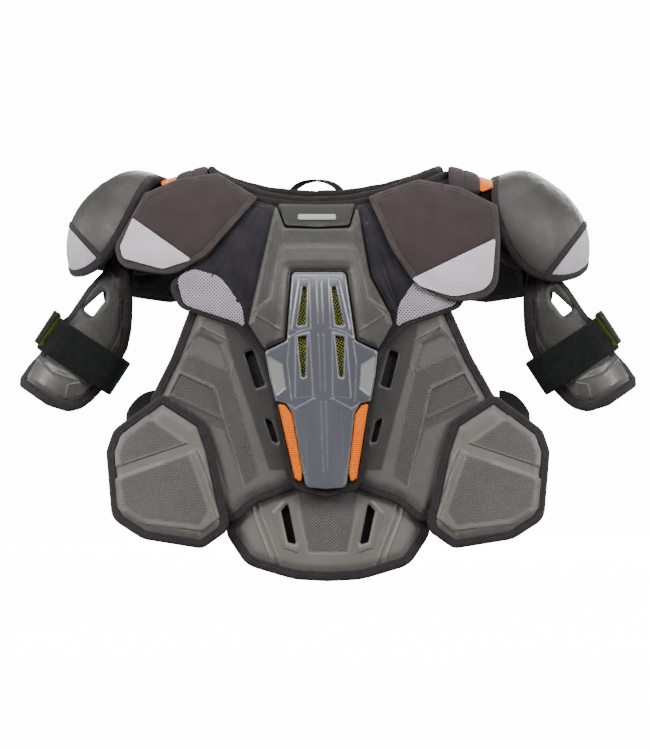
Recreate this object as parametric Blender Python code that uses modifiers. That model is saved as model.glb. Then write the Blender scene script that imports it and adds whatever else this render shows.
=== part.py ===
"""Hockey shoulder pads: an assembly of moulded pads, plates, liners, straps and arm guards.

+Z is up and -Y is the wearer's front, so "left" in a name means the wearer's left, at +X. The origin
is at the base of the neck, midway between the shoulders, where the pads sit on the wearer.

Every pad is a flat slab, cut to its outline and to a square grid, and then laid on a form: the chest,
the back, the top of a shoulder, or the round of an arm. Outlines are in millimetres. A pad's depth
runs outwards from the wearer's body, so pads with separate depth ranges never touch.
"""

import math

import bmesh
import bpy
from mathutils import Matrix, Vector

MM = 0.001
SIDES = {"left": 1, "right": -1}

# Driving dimensions of the body that the pads are laid on, in millimetres.
FRONT_HALF_WIDTH = 310
BACK_HALF_WIDTH = 345
NECK_DEPTH = 20
CHEST_DEPTH = 140
BACK_DEPTH = 125
CHEST_LINE_Z = -140
SHOULDER_LINE_Z = 50
GRID = 36

# The neck ring.
COLLAR_HALF_WIDTH = 139
COLLAR_FRONT = 105
COLLAR_BACK = 85
COLLAR_RADIUS = 7.0
COLLAR_POINTS = 36

# The shoulder caps: part of a ball round each shoulder joint.
CAP_CENTRE = Vector((228, 0, -56))
CAP_RADIUS = 90
CAP_THICKNESS = 4
CAP_TILT = 37
CAP_SEGMENTS = 24
CAP_RINGS = 5
# How each cap is turned about the vertical at rest, in degrees. A positive turn brings its front outwards.
CAP_TURN = {"left": 6, "right": 32}

# Where the moving pieces turn, in millimetres, for the side at +X unless the side is named.
CAP_PIVOT = (197, 0, 26)
SLEEVE_PIVOT = (214, -43, -64)
GUARD_PIVOT = (245, -50, -112)
RIB_PIVOT = (148, -149, -265)
FLAP_PIVOT = {"left": (156, -94, 10), "right": (177, -83, 22)}
BELLY_ORIGIN = (0, -150, -390)

# The bicep guards: bent round an arm that hangs a little outwards. A strap holds each one to the arm.
ARM_RADIUS = 56
STRAP_OUTER = 54
STRAP_INNER = 48
STRAP_FRONT = 67
STRAP_BACK = 52
ARM_SPLAY = 33
ARM_CENTRE = Vector((294, 0, -187))
ARM_GRID = 22


# Forms: each takes a point on a flat pad, its depth and its side, and gives the place on the body, in
# millimetres. The side is 1 at +X and -1 at -X.


def lean(z):
    """The front panels hang a little over towards the wearer's right, most of all at the neck."""
    return -14 - 0.034 * z


def swell(z, deepest):
    """Half the body's depth at a height: constant below the chest line, falling away to the shoulders."""
    t = max(0.0, (z - CHEST_LINE_Z) / (SHOULDER_LINE_Z - CHEST_LINE_Z))
    return NECK_DEPTH + (deepest - NECK_DEPTH) * (1 - t * t)


def roundness(x, half_width):
    return math.sqrt(max(0.0, 1 - (x / half_width) ** 2))


def on_front(x, z, depth, side=1):
    return Vector((x * side, -swell(z, CHEST_DEPTH) * roundness(x, FRONT_HALF_WIDTH) - depth, z))


def on_hanging_front(x, z, depth, side=1):
    return on_front(x * side + lean(z), z, depth)


def on_back(x, z, depth, side=1):
    return Vector((x * side, swell(z, BACK_DEPTH) * roundness(x, BACK_HALF_WIDTH) + depth, z))


def flat_back(x, z, depth, side=1):
    """The outer side of the back is flat where the spine plate lies."""
    return Vector((x * side, BACK_DEPTH + depth, z))


def over_shoulder(x, s, depth, side=1):
    """An arch over the top of the shoulder; s is the distance along it from its crown."""
    crown = 45 - 0.29 * (x - 150)
    angle = s / 66
    return Vector((x * side, -(66 + depth) * math.sin(angle), (crown + depth) * math.cos(angle)))


def along_arm(sideways, forwards, w, side):
    """A place by the arm: sideways is away from the body, and w is down from the guard's middle."""
    local = Vector((sideways, -forwards, -w))
    place = Matrix.Rotation(math.radians(-ARM_SPLAY), 3, "Y") @ local + ARM_CENTRE
    return Vector((place.x * side, place.y, place.z))


def round_arm(s, w, depth, side=1):
    """Round the front of the arm: s goes round it from its front line, towards the body."""
    angle = s / ARM_RADIUS
    radius = ARM_RADIUS + depth
    return along_arm(-radius * math.sin(angle), radius * math.cos(angle), w, side)


def power(value, exponent):
    return math.copysign(abs(value) ** exponent, value)


def round_strap(turn, w, depth, side=1):
    """Right round the arm and the guard, in degrees from the front: towards the body is positive."""
    angle = math.radians(turn)
    sideways = (STRAP_INNER if turn > 0 else STRAP_OUTER) + depth
    forwards = (STRAP_FRONT if abs(turn) < 90 else STRAP_BACK) + depth
    return along_arm(-sideways * power(math.sin(angle), 0.5), forwards * power(math.cos(angle), 0.5), w, side)


def round_side(turn, z, depth, side=1):
    """Round the wearer's side, in degrees from the middle of the side: forwards is positive."""
    angle = math.radians(turn)
    outwards = 140 + (103 + depth) * math.cos(angle) ** 0.6
    return Vector((outwards * side, -(104 + depth) * power(math.sin(angle), 0.6), z))


# Modelling tools.


def make_material(name, colour, roughness, metallic=0.0):
    material = bpy.data.materials.new(name)
    material.use_nodes = True
    shader = material.node_tree.nodes["Principled BSDF"]
    shader.inputs["Base Color"].default_value = (*colour, 1)
    shader.inputs["Roughness"].default_value = roughness
    shader.inputs["Metallic"].default_value = metallic
    return material


def fillet(before, corner, after, radius):
    """The points of an arc that rounds a corner."""
    to_before = (before - corner).normalized()
    to_after = (after - corner).normalized()
    half = to_before.angle(to_after) / 2
    longest = 0.48 * min((before - corner).length, (after - corner).length)
    tangent = min(radius / math.tan(half), longest)
    middle = corner + (to_before + to_after).normalized() * tangent / math.cos(half)
    start = corner + to_before * tangent - middle
    end = corner + to_after * tangent - middle
    steps = max(1, round(start.angle(end) / math.radians(32)))
    turn = (math.atan2(end.y, end.x) - math.atan2(start.y, start.x) + math.pi) % math.tau - math.pi
    points = []
    for i in range(steps + 1):
        points.append(middle + Matrix.Rotation(turn * i / steps, 2) @ start)
    return points


def rounded(corners):
    """A closed outline from corners given as (x, z) or (x, z, radius)."""
    places = [Vector(corner[:2]) for corner in corners]
    outline = []
    for i, corner in enumerate(corners):
        after = places[(i + 1) % len(places)]
        if len(corner) > 2:
            outline += fillet(places[i - 1], places[i], after, corner[2])
        else:
            outline.append(places[i])
    return outline


def box_outline(x0, z0, x1, z1, radius):
    return [(x0, z0, radius), (x1, z0, radius), (x1, z1, radius), (x0, z1, radius)]


def mirrored(half):
    """A symmetric outline from its +X half, whose first and last corners are on the middle line."""
    other = [(-corner[0], *corner[1:]) for corner in reversed(half) if corner[0] > 0]
    return half + other


def flat_slab(name, outline, holes):
    """A slab one unit thick, from a filled 2D curve."""
    curve = bpy.data.curves.new(name, "CURVE")
    curve.dimensions = "2D"
    curve.fill_mode = "BOTH"
    curve.extrude = 0.5
    for loop in [outline, *holes]:
        points = rounded(loop)
        spline = curve.splines.new("POLY")
        spline.points.add(len(points) - 1)
        spline.use_cyclic_u = True
        for point, place in zip(spline.points, points):
            point.co = (place.x, place.y, 0, 1)
    helper = bpy.data.objects.new(name, curve)
    bpy.context.collection.objects.link(helper)
    evaluated = helper.evaluated_get(bpy.context.evaluated_depsgraph_get())
    mesh = bpy.data.meshes.new_from_object(evaluated)
    bpy.data.objects.remove(helper)
    bpy.data.curves.remove(curve)
    mesh.name = name
    return mesh


def cut_to_grid(bm, step):
    """Cuts the slab along square grid lines, so that it can bend."""
    for axis in (0, 1):
        low = min(vertex.co[axis] for vertex in bm.verts)
        high = max(vertex.co[axis] for vertex in bm.verts)
        normal = Vector((axis == 0, axis == 1, 0))
        for line in range(math.ceil(low / step), math.floor(high / step) + 1):
            geometry = bm.verts[:] + bm.edges[:] + bm.faces[:]
            bmesh.ops.bisect_plane(bm, geom=geometry, dist=0.01, plane_co=normal * line * step, plane_no=normal)


def link(name, mesh, material):
    mesh.materials.clear()
    mesh.materials.append(material)
    obj = bpy.data.objects.new(name, mesh)
    collection = bpy.data.collections["hockey_shoulder_pads"]
    collection.objects.link(obj)
    return obj


def set_origin(obj, pivot=None, side="left"):
    """Moves the object's origin to its joint, or to its own middle if it is fixed, and leaves its mesh."""
    corners = [Vector(corner) for corner in obj.bound_box]
    place = sum(corners, Vector()) / 8
    if pivot:
        place = Vector((pivot[0] * SIDES[side], pivot[1], pivot[2])) * MM
    obj.data.transform(Matrix.Translation(-place))
    obj.location = place


def pad(name, outline, form, depths, material, side="left", holes=(), step=GRID, pivot=None):
    """One pad or plate: a slab cut to its outline, from the first depth to the second, laid on a form."""
    mesh = flat_slab(name, outline, holes)
    bm = bmesh.new()
    bm.from_mesh(mesh)
    bmesh.ops.remove_doubles(bm, verts=bm.verts[:], dist=0.01)
    bmesh.ops.dissolve_limit(bm, angle_limit=0.01, verts=bm.verts[:], edges=bm.edges[:])
    cut_to_grid(bm, step)
    bmesh.ops.triangulate(bm, faces=bm.faces[:])
    for vertex in bm.verts:
        depth = depths[1] if vertex.co.z > 0 else depths[0]
        vertex.co = form(vertex.co.x, vertex.co.y, depth, SIDES[side]) * MM
    bm.normal_update()
    bmesh.ops.recalc_face_normals(bm, faces=bm.faces[:])
    bm.to_mesh(mesh)
    bm.free()
    set_origin(link(name, mesh, material), pivot, side)


# Shoulder caps.


def cap_rim(around):
    """How far a cap reaches from its crown, in degrees, at an angle round it from its lower outer side."""
    return 80 - 19 * math.cos(2 * around) + 6 * math.cos(around)


def cap_frame(side):
    """Turns a ball with its pole up to a cap's place at rest, for the side at +X."""
    turn = Matrix.Rotation(math.radians(CAP_TURN[side]), 4, "Z")
    tilt = Matrix.Rotation(math.radians(CAP_TILT), 4, "Y")
    return Matrix.Translation(CAP_CENTRE) @ turn @ tilt


def dome(name, side, radius, thickness, reach, material):
    """Half a ball with its rim drawn to the cap's rim, thickened inwards, with its origin on its hinge."""
    bm = bmesh.new()
    bmesh.ops.create_uvsphere(bm, u_segments=CAP_SEGMENTS, v_segments=2 * CAP_RINGS, radius=1)
    lower = [vertex for vertex in bm.verts if vertex.co.z < -0.01]
    bmesh.ops.delete(bm, geom=lower, context="VERTS")
    frame = cap_frame(side)
    for vertex in bm.verts:
        around = math.atan2(vertex.co.y, vertex.co.x)
        share = math.acos(max(-1.0, min(1.0, vertex.co.z))) / (math.pi / 2)
        down = math.radians(cap_rim(around) * reach) * share
        level = radius * math.sin(down)
        place = frame @ Vector((level * math.cos(around), level * math.sin(around), radius * math.cos(down)))
        vertex.co = Vector((place.x * SIDES[side], place.y, place.z)) * MM
    bmesh.ops.recalc_face_normals(bm, faces=bm.faces[:])
    mesh = bpy.data.meshes.new(name)
    bm.to_mesh(mesh)
    bm.free()
    obj = link(name, mesh, material)
    centre = Vector((CAP_CENTRE.x * SIDES[side], CAP_CENTRE.y, CAP_CENTRE.z)) * MM
    outwards = mesh.polygons[0].normal.dot(mesh.polygons[0].center - centre) > 0
    solidify = obj.modifiers.new("Solidify", "SOLIDIFY")
    solidify.thickness = thickness * MM
    solidify.offset = -1 if outwards else 1
    solidify.use_even_offset = True
    set_origin(obj, CAP_PIVOT, side)


def shoulder_cap(side, materials):
    dome(f"{side}_cap_shell", side, CAP_RADIUS, CAP_THICKNESS, 1.0, materials["moulded_foam"])
    dome(f"{side}_cap_liner", side, CAP_RADIUS - CAP_THICKNESS - 2.5, 7, 0.93, materials["black_liner"])


# The neck ring and the hang loop.


def collar_point(angle):
    """The neck ring's middle line: angle 0 is the front, and half a turn is the back."""
    sideways = abs(math.sin(angle)) ** 2.2
    x = COLLAR_HALF_WIDTH * math.sin(angle) + 0.8 * lean(0) * abs(math.cos(angle)) - 3
    if math.cos(angle) >= 0:
        return Vector((x, -COLLAR_FRONT * math.cos(angle), -2 + 43 * sideways))
    return Vector((x, -COLLAR_BACK * math.cos(angle), 10 + 31 * sideways))


def hang_loop(materials):
    """The hang loop: a narrow webbing arch that stands up behind the neck ring."""
    bm = bmesh.new()
    rows = []
    for i in range(13):
        angle = math.pi * i / 12
        place = Vector((33 * math.cos(angle) + lean(0), 101, 6 + 23 * math.sin(angle)))
        rows.append([bm.verts.new((place + Vector((0, 5 * way, 0))) * MM) for way in (-1, 1)])
    for low, high in zip(rows, rows[1:]):
        bm.faces.new((low[0], low[1], high[1], high[0]))
    mesh = bpy.data.meshes.new("hang_loop")
    bm.to_mesh(mesh)
    bm.free()
    obj = link("hang_loop", mesh, materials["webbing"])
    solidify = obj.modifiers.new("Solidify", "SOLIDIFY")
    solidify.thickness = 1.8 * MM
    solidify.offset = 0
    solidify.use_even_offset = True
    set_origin(obj)


def neck(materials):
    ring = [collar_point(math.tau * i / COLLAR_POINTS) for i in range(COLLAR_POINTS)]
    curve = bpy.data.curves.new("collar_roll", "CURVE")
    curve.dimensions = "3D"
    curve.bevel_depth = COLLAR_RADIUS * MM
    curve.bevel_resolution = 2
    spline = curve.splines.new("POLY")
    spline.points.add(len(ring) - 1)
    spline.use_cyclic_u = True
    for point, place in zip(spline.points, ring):
        point.co = (*(place * MM), 1)
    curve.materials.append(materials["dark_cloth"])
    obj = bpy.data.objects.new("collar_roll", curve)
    bpy.data.collections["hockey_shoulder_pads"].objects.link(obj)
    hang_loop(materials)


# The front.

CHEST_VENTS = [
    [(92, -184, 2), (82, -180, 2), (69, -222, 2), (80, -226, 2)],
    [(71, -260, 2), (62, -266, 2), (55, -292, 2), (62, -289, 2)],
]
BELLY_VENT = [(48, -363, 2), (56, -373, 2), (48, -410, 2), (38, -413, 2)]
PLATE_VENTS = [
    [(15, -105, 1), (19.4, -104, 1), (27.5, -151, 1), (18.2, -150, 1)],
    [(17.4, -163, 1), (27.6, -165, 1), (24.4, -213, 1), (20.6, -212, 1)],
]


def flipped(loops):
    return [[(-corner[0], *corner[1:]) for corner in loop] for loop in loops]


def front_middle(materials):
    bib = [
        (0, -13),
        (64, -10, 4),
        (84, -4, 6),
        (150, -78, 20),
        (182, -102, 14),
        (168, -130, 16),
        (104, -152, 26),
        (75, -184, 40),
        (62, -232, 60),
        (56, -276, 60),
        (48, -322, 30),
        (38, -347, 16),
        (0, -357),
    ]
    pad("bib_pad", mirrored(bib), on_hanging_front, (26, 33), materials["purple_cloth"])
    surround = [
        (0, -35),
        (39, -34, 5),
        (48, -9, 2),
        (83, -136, 5),
        (86, -149, 4),
        (68, -179, 2),
        (43, -168, 2),
        (34, -86, 5),
        (0, -85),
    ]
    pad("sternum_surround", mirrored(surround), on_hanging_front, (34.5, 44), materials["moulded_foam"])
    badge = [(0, -12), (45, -11, 2), (38, -31, 5), (0, -33)]
    pad("badge_panel", mirrored(badge), on_hanging_front, (34.5, 40), materials["dark_moulded"])
    bar = box_outline(-24, -25, 24, -16, 2)
    pad("badge_bar", bar, on_hanging_front, (41, 42.5), materials["light_plastic"])
    plate = [
        (0, -87),
        (32, -87, 6),
        (41, -169, 4),
        (67, -182, 3),
        (63, -212, 5),
        (57, -241, 2),
        (44, -244, 3),
        (37, -256, 3),
        (27, -326, 6),
        (24, -344, 8),
        (0, -346),
    ]
    vents = PLATE_VENTS + flipped(PLATE_VENTS)
    pad("sternum_plate", mirrored(plate), on_hanging_front, (36, 42), materials["clear_plastic"], holes=vents)
    mesh = [(0, -98), (28, -98, 3), (34, -160, 3), (34, -222, 3), (0, -224)]
    pad("sternum_mesh", mirrored(mesh), on_hanging_front, (33.8, 34.6), materials["lime_mesh"])
    for side in SIDES:
        insert = [(56, -245, 2), (46, -247, 3), (40, -257, 3), (30, -326, 3), (33, -338, 2), (39, -334, 2)]
        pad(f"{side}_sternum_insert", insert, on_hanging_front, (34, 38), materials["orange"], side)
    belly = [
        (0, -322),
        (66, -328, 20),
        (112, -362, 20),
        (124, -398, 22),
        (98, -438, 34),
        (40, -455, 80),
        (0, -457),
    ]
    vents = [BELLY_VENT] + flipped([BELLY_VENT])
    foam = materials["moulded_foam"]
    pad("belly_pad", mirrored(belly), on_front, (4, 12.5), foam, holes=vents, pivot=BELLY_ORIGIN)
    inner = [(0, -330), (62, -336, 18), (104, -366, 18), (113, -398, 20), (92, -431, 30), (0, -449)]
    pad("belly_liner", mirrored(inner), on_front, (0.5, 3), materials["black_liner"], pivot=BELLY_ORIGIN)


CHEST_PANEL = [
    (146, -96, 10),
    (158, -135, 60),
    (180, -188, 60),
    (208, -240, 12),
    (187, -300, 20),
    (118, -396, 20),
    (84, -364, 40),
    (30, -344, 6),
    (28, -250, 20),
    (60, -160, 20),
    (92, -118, 10),
]
RIB_PAD = [
    (204, -236, 4),
    (258, -276, 22),
    (267, -302, 20),
    (260, -383, 22),
    (222, -407, 30),
    (150, -418, 16),
    (122, -398, 10),
    (118, -386, 4),
    (136, -300, 20),
    (148, -265, 10),
    (196, -234, 4),
]
# The two clavicle flaps lie a little differently: the left one has dropped lower and nearer the middle.
FLAP = {
    "right": [
        (221, 9, 4),
        (182, 26, 60),
        (133, 34, 10),
        (84, 3, 3),
        (146, -68, 40),
        (188, -92, 44),
        (250, -80, 26),
        (257, -56, 20),
    ],
    "left": [
        (204, -6, 4),
        (160, 16, 60),
        (109, 26, 10),
        (62, 10, 3),
        (48, 4, 3),
        (76, -60, 60),
        (104, -102, 26),
        (150, -122, 40),
        (196, -112, 22),
        (207, -48, 60),
    ],
}
FLAP_CORNER = {
    "right": [(233, -22, 2), (166, -71, 2), (198, -80, 14), (243, -68, 8), (247, -56, 6)],
    "left": [(101, -94, 2), (200, -47, 2), (193, -102, 14), (150, -113, 20)],
}
WING_CORNER = [
    (171, -92, 12),
    (150, -83, 14),
    (118, -92, 24),
    (93, -128, 24),
    (90, -154, 3),
    (100, -147, 30),
    (163, -126, 14),
]


def front_side(side, materials):
    hanging = on_hanging_front
    pad(f"{side}_chest_panel", CHEST_PANEL, hanging, (14, 24), materials["moulded_foam"], side, CHEST_VENTS)
    liner = [(144, -120, 10), (172, -190, 30), (176, -238, 20), (148, -262, 20), (80, -262, 10), (76, -170, 10)]
    pad(f"{side}_chest_liner", liner, hanging, (10, 12.5), materials["black_liner"], side)
    rib = {"form": on_front, "side": side, "pivot": RIB_PIVOT}
    pad(f"{side}_rib_pad", RIB_PAD, depths=(26, 38), material=materials["moulded_foam"], **rib)
    backing = [(222, -258, 4), (250, -284, 16), (252, -378, 18), (216, -398, 24), (148, -402, 8), (206, -310, 20)]
    pad(f"{side}_rib_liner", backing, depths=(22, 24.5), material=materials["black_liner"], **rib)
    pad(f"{side}_wing_mesh", WING_CORNER, hanging, (33.7, 35), materials["white_mesh"], side)
    flap = {"form": on_front, "side": side, "pivot": FLAP_PIVOT[side]}
    pad(f"{side}_flap_pad", FLAP[side], depths=(37, 46), material=materials["dark_cloth"], **flap)
    pad(f"{side}_flap_mesh", FLAP_CORNER[side], depths=(46.7, 48.5), material=materials["white_mesh"], **flap)


# The shoulders and the back.


def shoulder(side, materials):
    yoke = box_outline(150, -70, 182, 76, 12)
    pad(f"{side}_yoke_pad", yoke, over_shoulder, (-12, 0), materials["dark_cloth"], side, step=18)
    hinge = box_outline(183.5, -24, 191, 30, 3)
    pad(f"{side}_cap_hinge_strap", hinge, over_shoulder, (-5.5, -3), materials["orange"], side, step=18)


def back(materials):
    yoke = [
        (0, -10),
        (70, -8, 10),
        (140, 12, 10),
        (170, 2, 12),
        (182, -42, 40),
        (222, -84, 20),
        (224, -112, 14),
        (196, -122, 20),
        (150, -116, 30),
        (120, -170, 60),
        (112, -230, 60),
        (150, -262, 20),
        (150, -322, 20),
        (100, -352, 30),
        (0, -360),
    ]
    pad("back_pad", mirrored(yoke), on_back, (4, 14), materials["black_liner"])
    liner = [(0, -20), (60, -18, 10), (104, -60, 20), (100, -330, 20), (0, -340)]
    pad("back_liner", mirrored(liner), on_back, (0.5, 2.8), materials["dark_mesh"])
    plate = [(0, -130), (30, -130, 8), (36, -200, 40), (28, -316, 10), (0, -322)]
    pad("spine_plate", mirrored(plate), flat_back, (15, 20), materials["moulded_plastic"])
    anchor = box_outline(-42, -30, 42, -12, 4)
    pad("hang_loop_anchor", anchor, on_back, (15, 17.5), materials["webbing"])
    for side in SIDES:
        blade = [(44, -40, 12), (120, -22, 16), (184, -46, 20), (188, -92, 20), (110, -128, 20), (46, -160, 12)]
        pad(f"{side}_blade_pad", blade, on_back, (15, 25), materials["moulded_foam"], side)
        kidney = [(50, -238, 12), (104, -262, 14), (136, -278, 14), (132, -316, 16), (92, -338, 16), (46, -334, 12)]
        pad(f"{side}_kidney_pad", kidney, on_back, (15, 23), materials["moulded_foam"], side)


def waist_strap(side, materials):
    band = box_outline(-84, -271, 62, -228, 3)
    pad(f"{side}_waist_strap", band, round_side, (0, 2.5), materials["elastic"], side, step=16)


# The arms.

GUARD = [
    (-10, -98, 8),
    (9, -96, 8),
    (22, -71, 20),
    (31, -55, 20),
    (39, -36, 16),
    (42, -10, 30),
    (41, 24, 20),
    (37, 42, 20),
    (31, 56, 16),
    (19, 68, 16),
    (-5, 75, 20),
    (-50, 74, 6),
    (-57, 66, 6),
    (-57, 48, 10),
    (-51, 26, 10),
    (-50, -22, 8),
    (-45, -30, 10),
    (-44, -73, 10),
    (-38, -90, 10),
]
GUARD_WINDOW = [(-24, -80, 3), (-19, -77, 3), (-15, -69, 4), (-17, -45, 3), (-34, -46, 3)]


def arm(side, materials):
    on_arm = {"form": round_arm, "side": side, "step": ARM_GRID}
    sleeve = box_outline(-22, -148, 26, -84, 8)
    cloth = materials["dark_cloth"]
    pad(f"{side}_arm_sleeve", sleeve, depths=(-13, -10), material=cloth, pivot=SLEEVE_PIVOT, **on_arm)
    on_arm["pivot"] = GUARD_PIVOT
    on_band = {"form": round_strap, "side": side, "step": 16, "pivot": GUARD_PIVOT}
    foam = materials["moulded_foam"]
    pad(f"{side}_bicep_guard", GUARD, depths=(0, 8), material=foam, holes=[GUARD_WINDOW], **on_arm)
    liner = box_outline(-40, -38, 36, 60, 12)
    pad(f"{side}_bicep_liner", liner, depths=(-5, -2), material=materials["black_liner"], **on_arm)
    band = box_outline(-176, -22, 176, 24, 3)
    pad(f"{side}_bicep_strap", band, depths=(0, 2.5), material=materials["elastic"], **on_band)
    loop = box_outline(-104, -24, -42, 20, 3)
    pad(f"{side}_strap_loop", loop, depths=(3.5, 5.5), material=materials["lime_mesh"], **on_band)


def build():
    for obj in list(bpy.data.objects):
        bpy.data.objects.remove(obj)
    collection = bpy.data.collections.new("hockey_shoulder_pads")
    bpy.context.scene.collection.children.link(collection)
    materials = {
        "moulded_foam": make_material("moulded_foam", (0.13, 0.13, 0.115), 0.5),
        "dark_moulded": make_material("dark_moulded", (0.05, 0.05, 0.047), 0.55),
        "moulded_plastic": make_material("moulded_plastic", (0.09, 0.09, 0.085), 0.4),
        "clear_plastic": make_material("clear_plastic", (0.2, 0.2, 0.22), 0.25),
        "light_plastic": make_material("light_plastic", (0.5, 0.5, 0.48), 0.3),
        "dark_cloth": make_material("dark_cloth", (0.06, 0.05, 0.046), 0.9),
        "purple_cloth": make_material("purple_cloth", (0.05, 0.045, 0.06), 0.8),
        "black_liner": make_material("black_liner", (0.015, 0.016, 0.016), 0.9),
        "dark_mesh": make_material("dark_mesh", (0.04, 0.04, 0.04), 0.9),
        "white_mesh": make_material("white_mesh", (0.6, 0.57, 0.6), 0.8),
        "lime_mesh": make_material("lime_mesh", (0.3, 0.32, 0.04), 0.8),
        "orange": make_material("orange", (0.9, 0.25, 0.01), 0.6),
        "webbing": make_material("webbing", (0.03, 0.03, 0.03), 0.85),
        "elastic": make_material("elastic", (0.018, 0.02, 0.02), 0.9),
    }
    neck(materials)
    front_middle(materials)
    back(materials)
    for side in SIDES:
        front_side(side, materials)
        shoulder(side, materials)
        shoulder_cap(side, materials)
        waist_strap(side, materials)
        arm(side, materials)


build()
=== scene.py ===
"""The looks of the hockey shoulder pads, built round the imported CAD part.

+Z is up and -Y is the wearer's front. Outlines, depths and widths are in millimetres, and places in
the scene are in metres. Every pad is a flat panel, cut to its outline, given its relief while it is
flat, and then laid on a form: the chest, the back, the top of a shoulder or the round of an arm.
"""

import math

import bmesh
import bpy
import numpy as np
from mathutils import Matrix, Vector, geometry, kdtree


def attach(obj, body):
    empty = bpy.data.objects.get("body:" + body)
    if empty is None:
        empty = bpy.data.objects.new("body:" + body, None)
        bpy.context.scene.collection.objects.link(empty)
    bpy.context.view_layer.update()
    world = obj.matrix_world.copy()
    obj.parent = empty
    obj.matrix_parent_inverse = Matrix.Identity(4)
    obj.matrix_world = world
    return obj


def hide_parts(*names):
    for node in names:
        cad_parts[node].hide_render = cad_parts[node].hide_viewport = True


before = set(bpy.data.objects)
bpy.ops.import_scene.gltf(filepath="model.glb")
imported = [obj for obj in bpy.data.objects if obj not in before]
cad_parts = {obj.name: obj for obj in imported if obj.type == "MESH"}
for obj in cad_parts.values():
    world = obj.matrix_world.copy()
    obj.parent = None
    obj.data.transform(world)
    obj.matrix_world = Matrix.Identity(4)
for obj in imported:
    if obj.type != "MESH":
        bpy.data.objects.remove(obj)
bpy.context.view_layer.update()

MM = 0.001
SIDES = {"left": 1, "right": -1}


# Forms: each takes flat coordinates, a depth outwards from the body and a side, and gives places in mm.


def lean(z):
    return -14 - 0.034 * z


def swell(z, deepest):
    t = np.maximum(0.0, (z + 140) / 190)
    return 20 + (deepest - 20) * (1 - t * t)


def roundness(x, half_width):
    return np.sqrt(np.maximum(0.0, 1 - (x / half_width) ** 2))


def places(x, y, z):
    return np.stack(np.broadcast_arrays(x, y, z), -1).astype(float)


def on_front(x, z, depth, side=1):
    return places(x * side, -swell(z, 140) * roundness(x, 310) - depth, z)


def on_hanging_front(x, z, depth, side=1):
    return on_front(x * side + lean(z), z, depth)


def on_back(x, z, depth, side=1):
    return places(x * side, swell(z, 125) * roundness(x, 345) + depth, z)


def flat_back(x, z, depth, side=1):
    return places(x * side, 125 + depth, z)


def over_shoulder(x, s, depth, side=1):
    crown = 45 - 0.29 * (x - 150)
    return places(x * side, -(66 + depth) * np.sin(s / 66), (crown + depth) * np.cos(s / 66))


SPLAY = math.radians(33)


def along_arm(sideways, forwards, w, side):
    x = 294 + sideways * math.cos(SPLAY) + w * math.sin(SPLAY)
    z = -187 + sideways * math.sin(SPLAY) - w * math.cos(SPLAY)
    return places(x * side, -forwards, z)


def round_arm(s, w, depth, side=1):
    # The guard's upper end tucks in under the cap, which leaves it room to swing.
    tuck = 10 * smooth((-68 - np.asarray(w)) / 36)
    radius = 56 + depth - tuck
    return along_arm(-radius * np.sin(s / 56), radius * np.cos(s / 56), w, side)


def power(value, exponent):
    return np.sign(value) * np.abs(value) ** exponent


def round_strap(turn, w, depth, side=1):
    angle = np.radians(turn)
    sideways = np.where(np.sin(angle) > 0, 48, 54) + depth
    forwards = np.where(np.cos(angle) > 0, 67, 52) + depth
    return along_arm(-sideways * power(np.sin(angle), 0.5), forwards * power(np.cos(angle), 0.5), w, side)


def round_side(turn, z, depth, side=1):
    angle = np.radians(turn)
    outwards = 140 + (103 + depth) * np.abs(np.cos(angle)) ** 0.6
    return places(outwards * side, -(104 + depth) * power(np.sin(angle), 0.6), z)


# Materials.


def rgb(code):
    channels = [int(code[i : i + 2], 16) / 255 for i in (0, 2, 4)]
    return (*[c / 12.92 if c < 0.04045 else ((c + 0.055) / 1.055) ** 2.4 for c in channels], 1)


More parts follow.
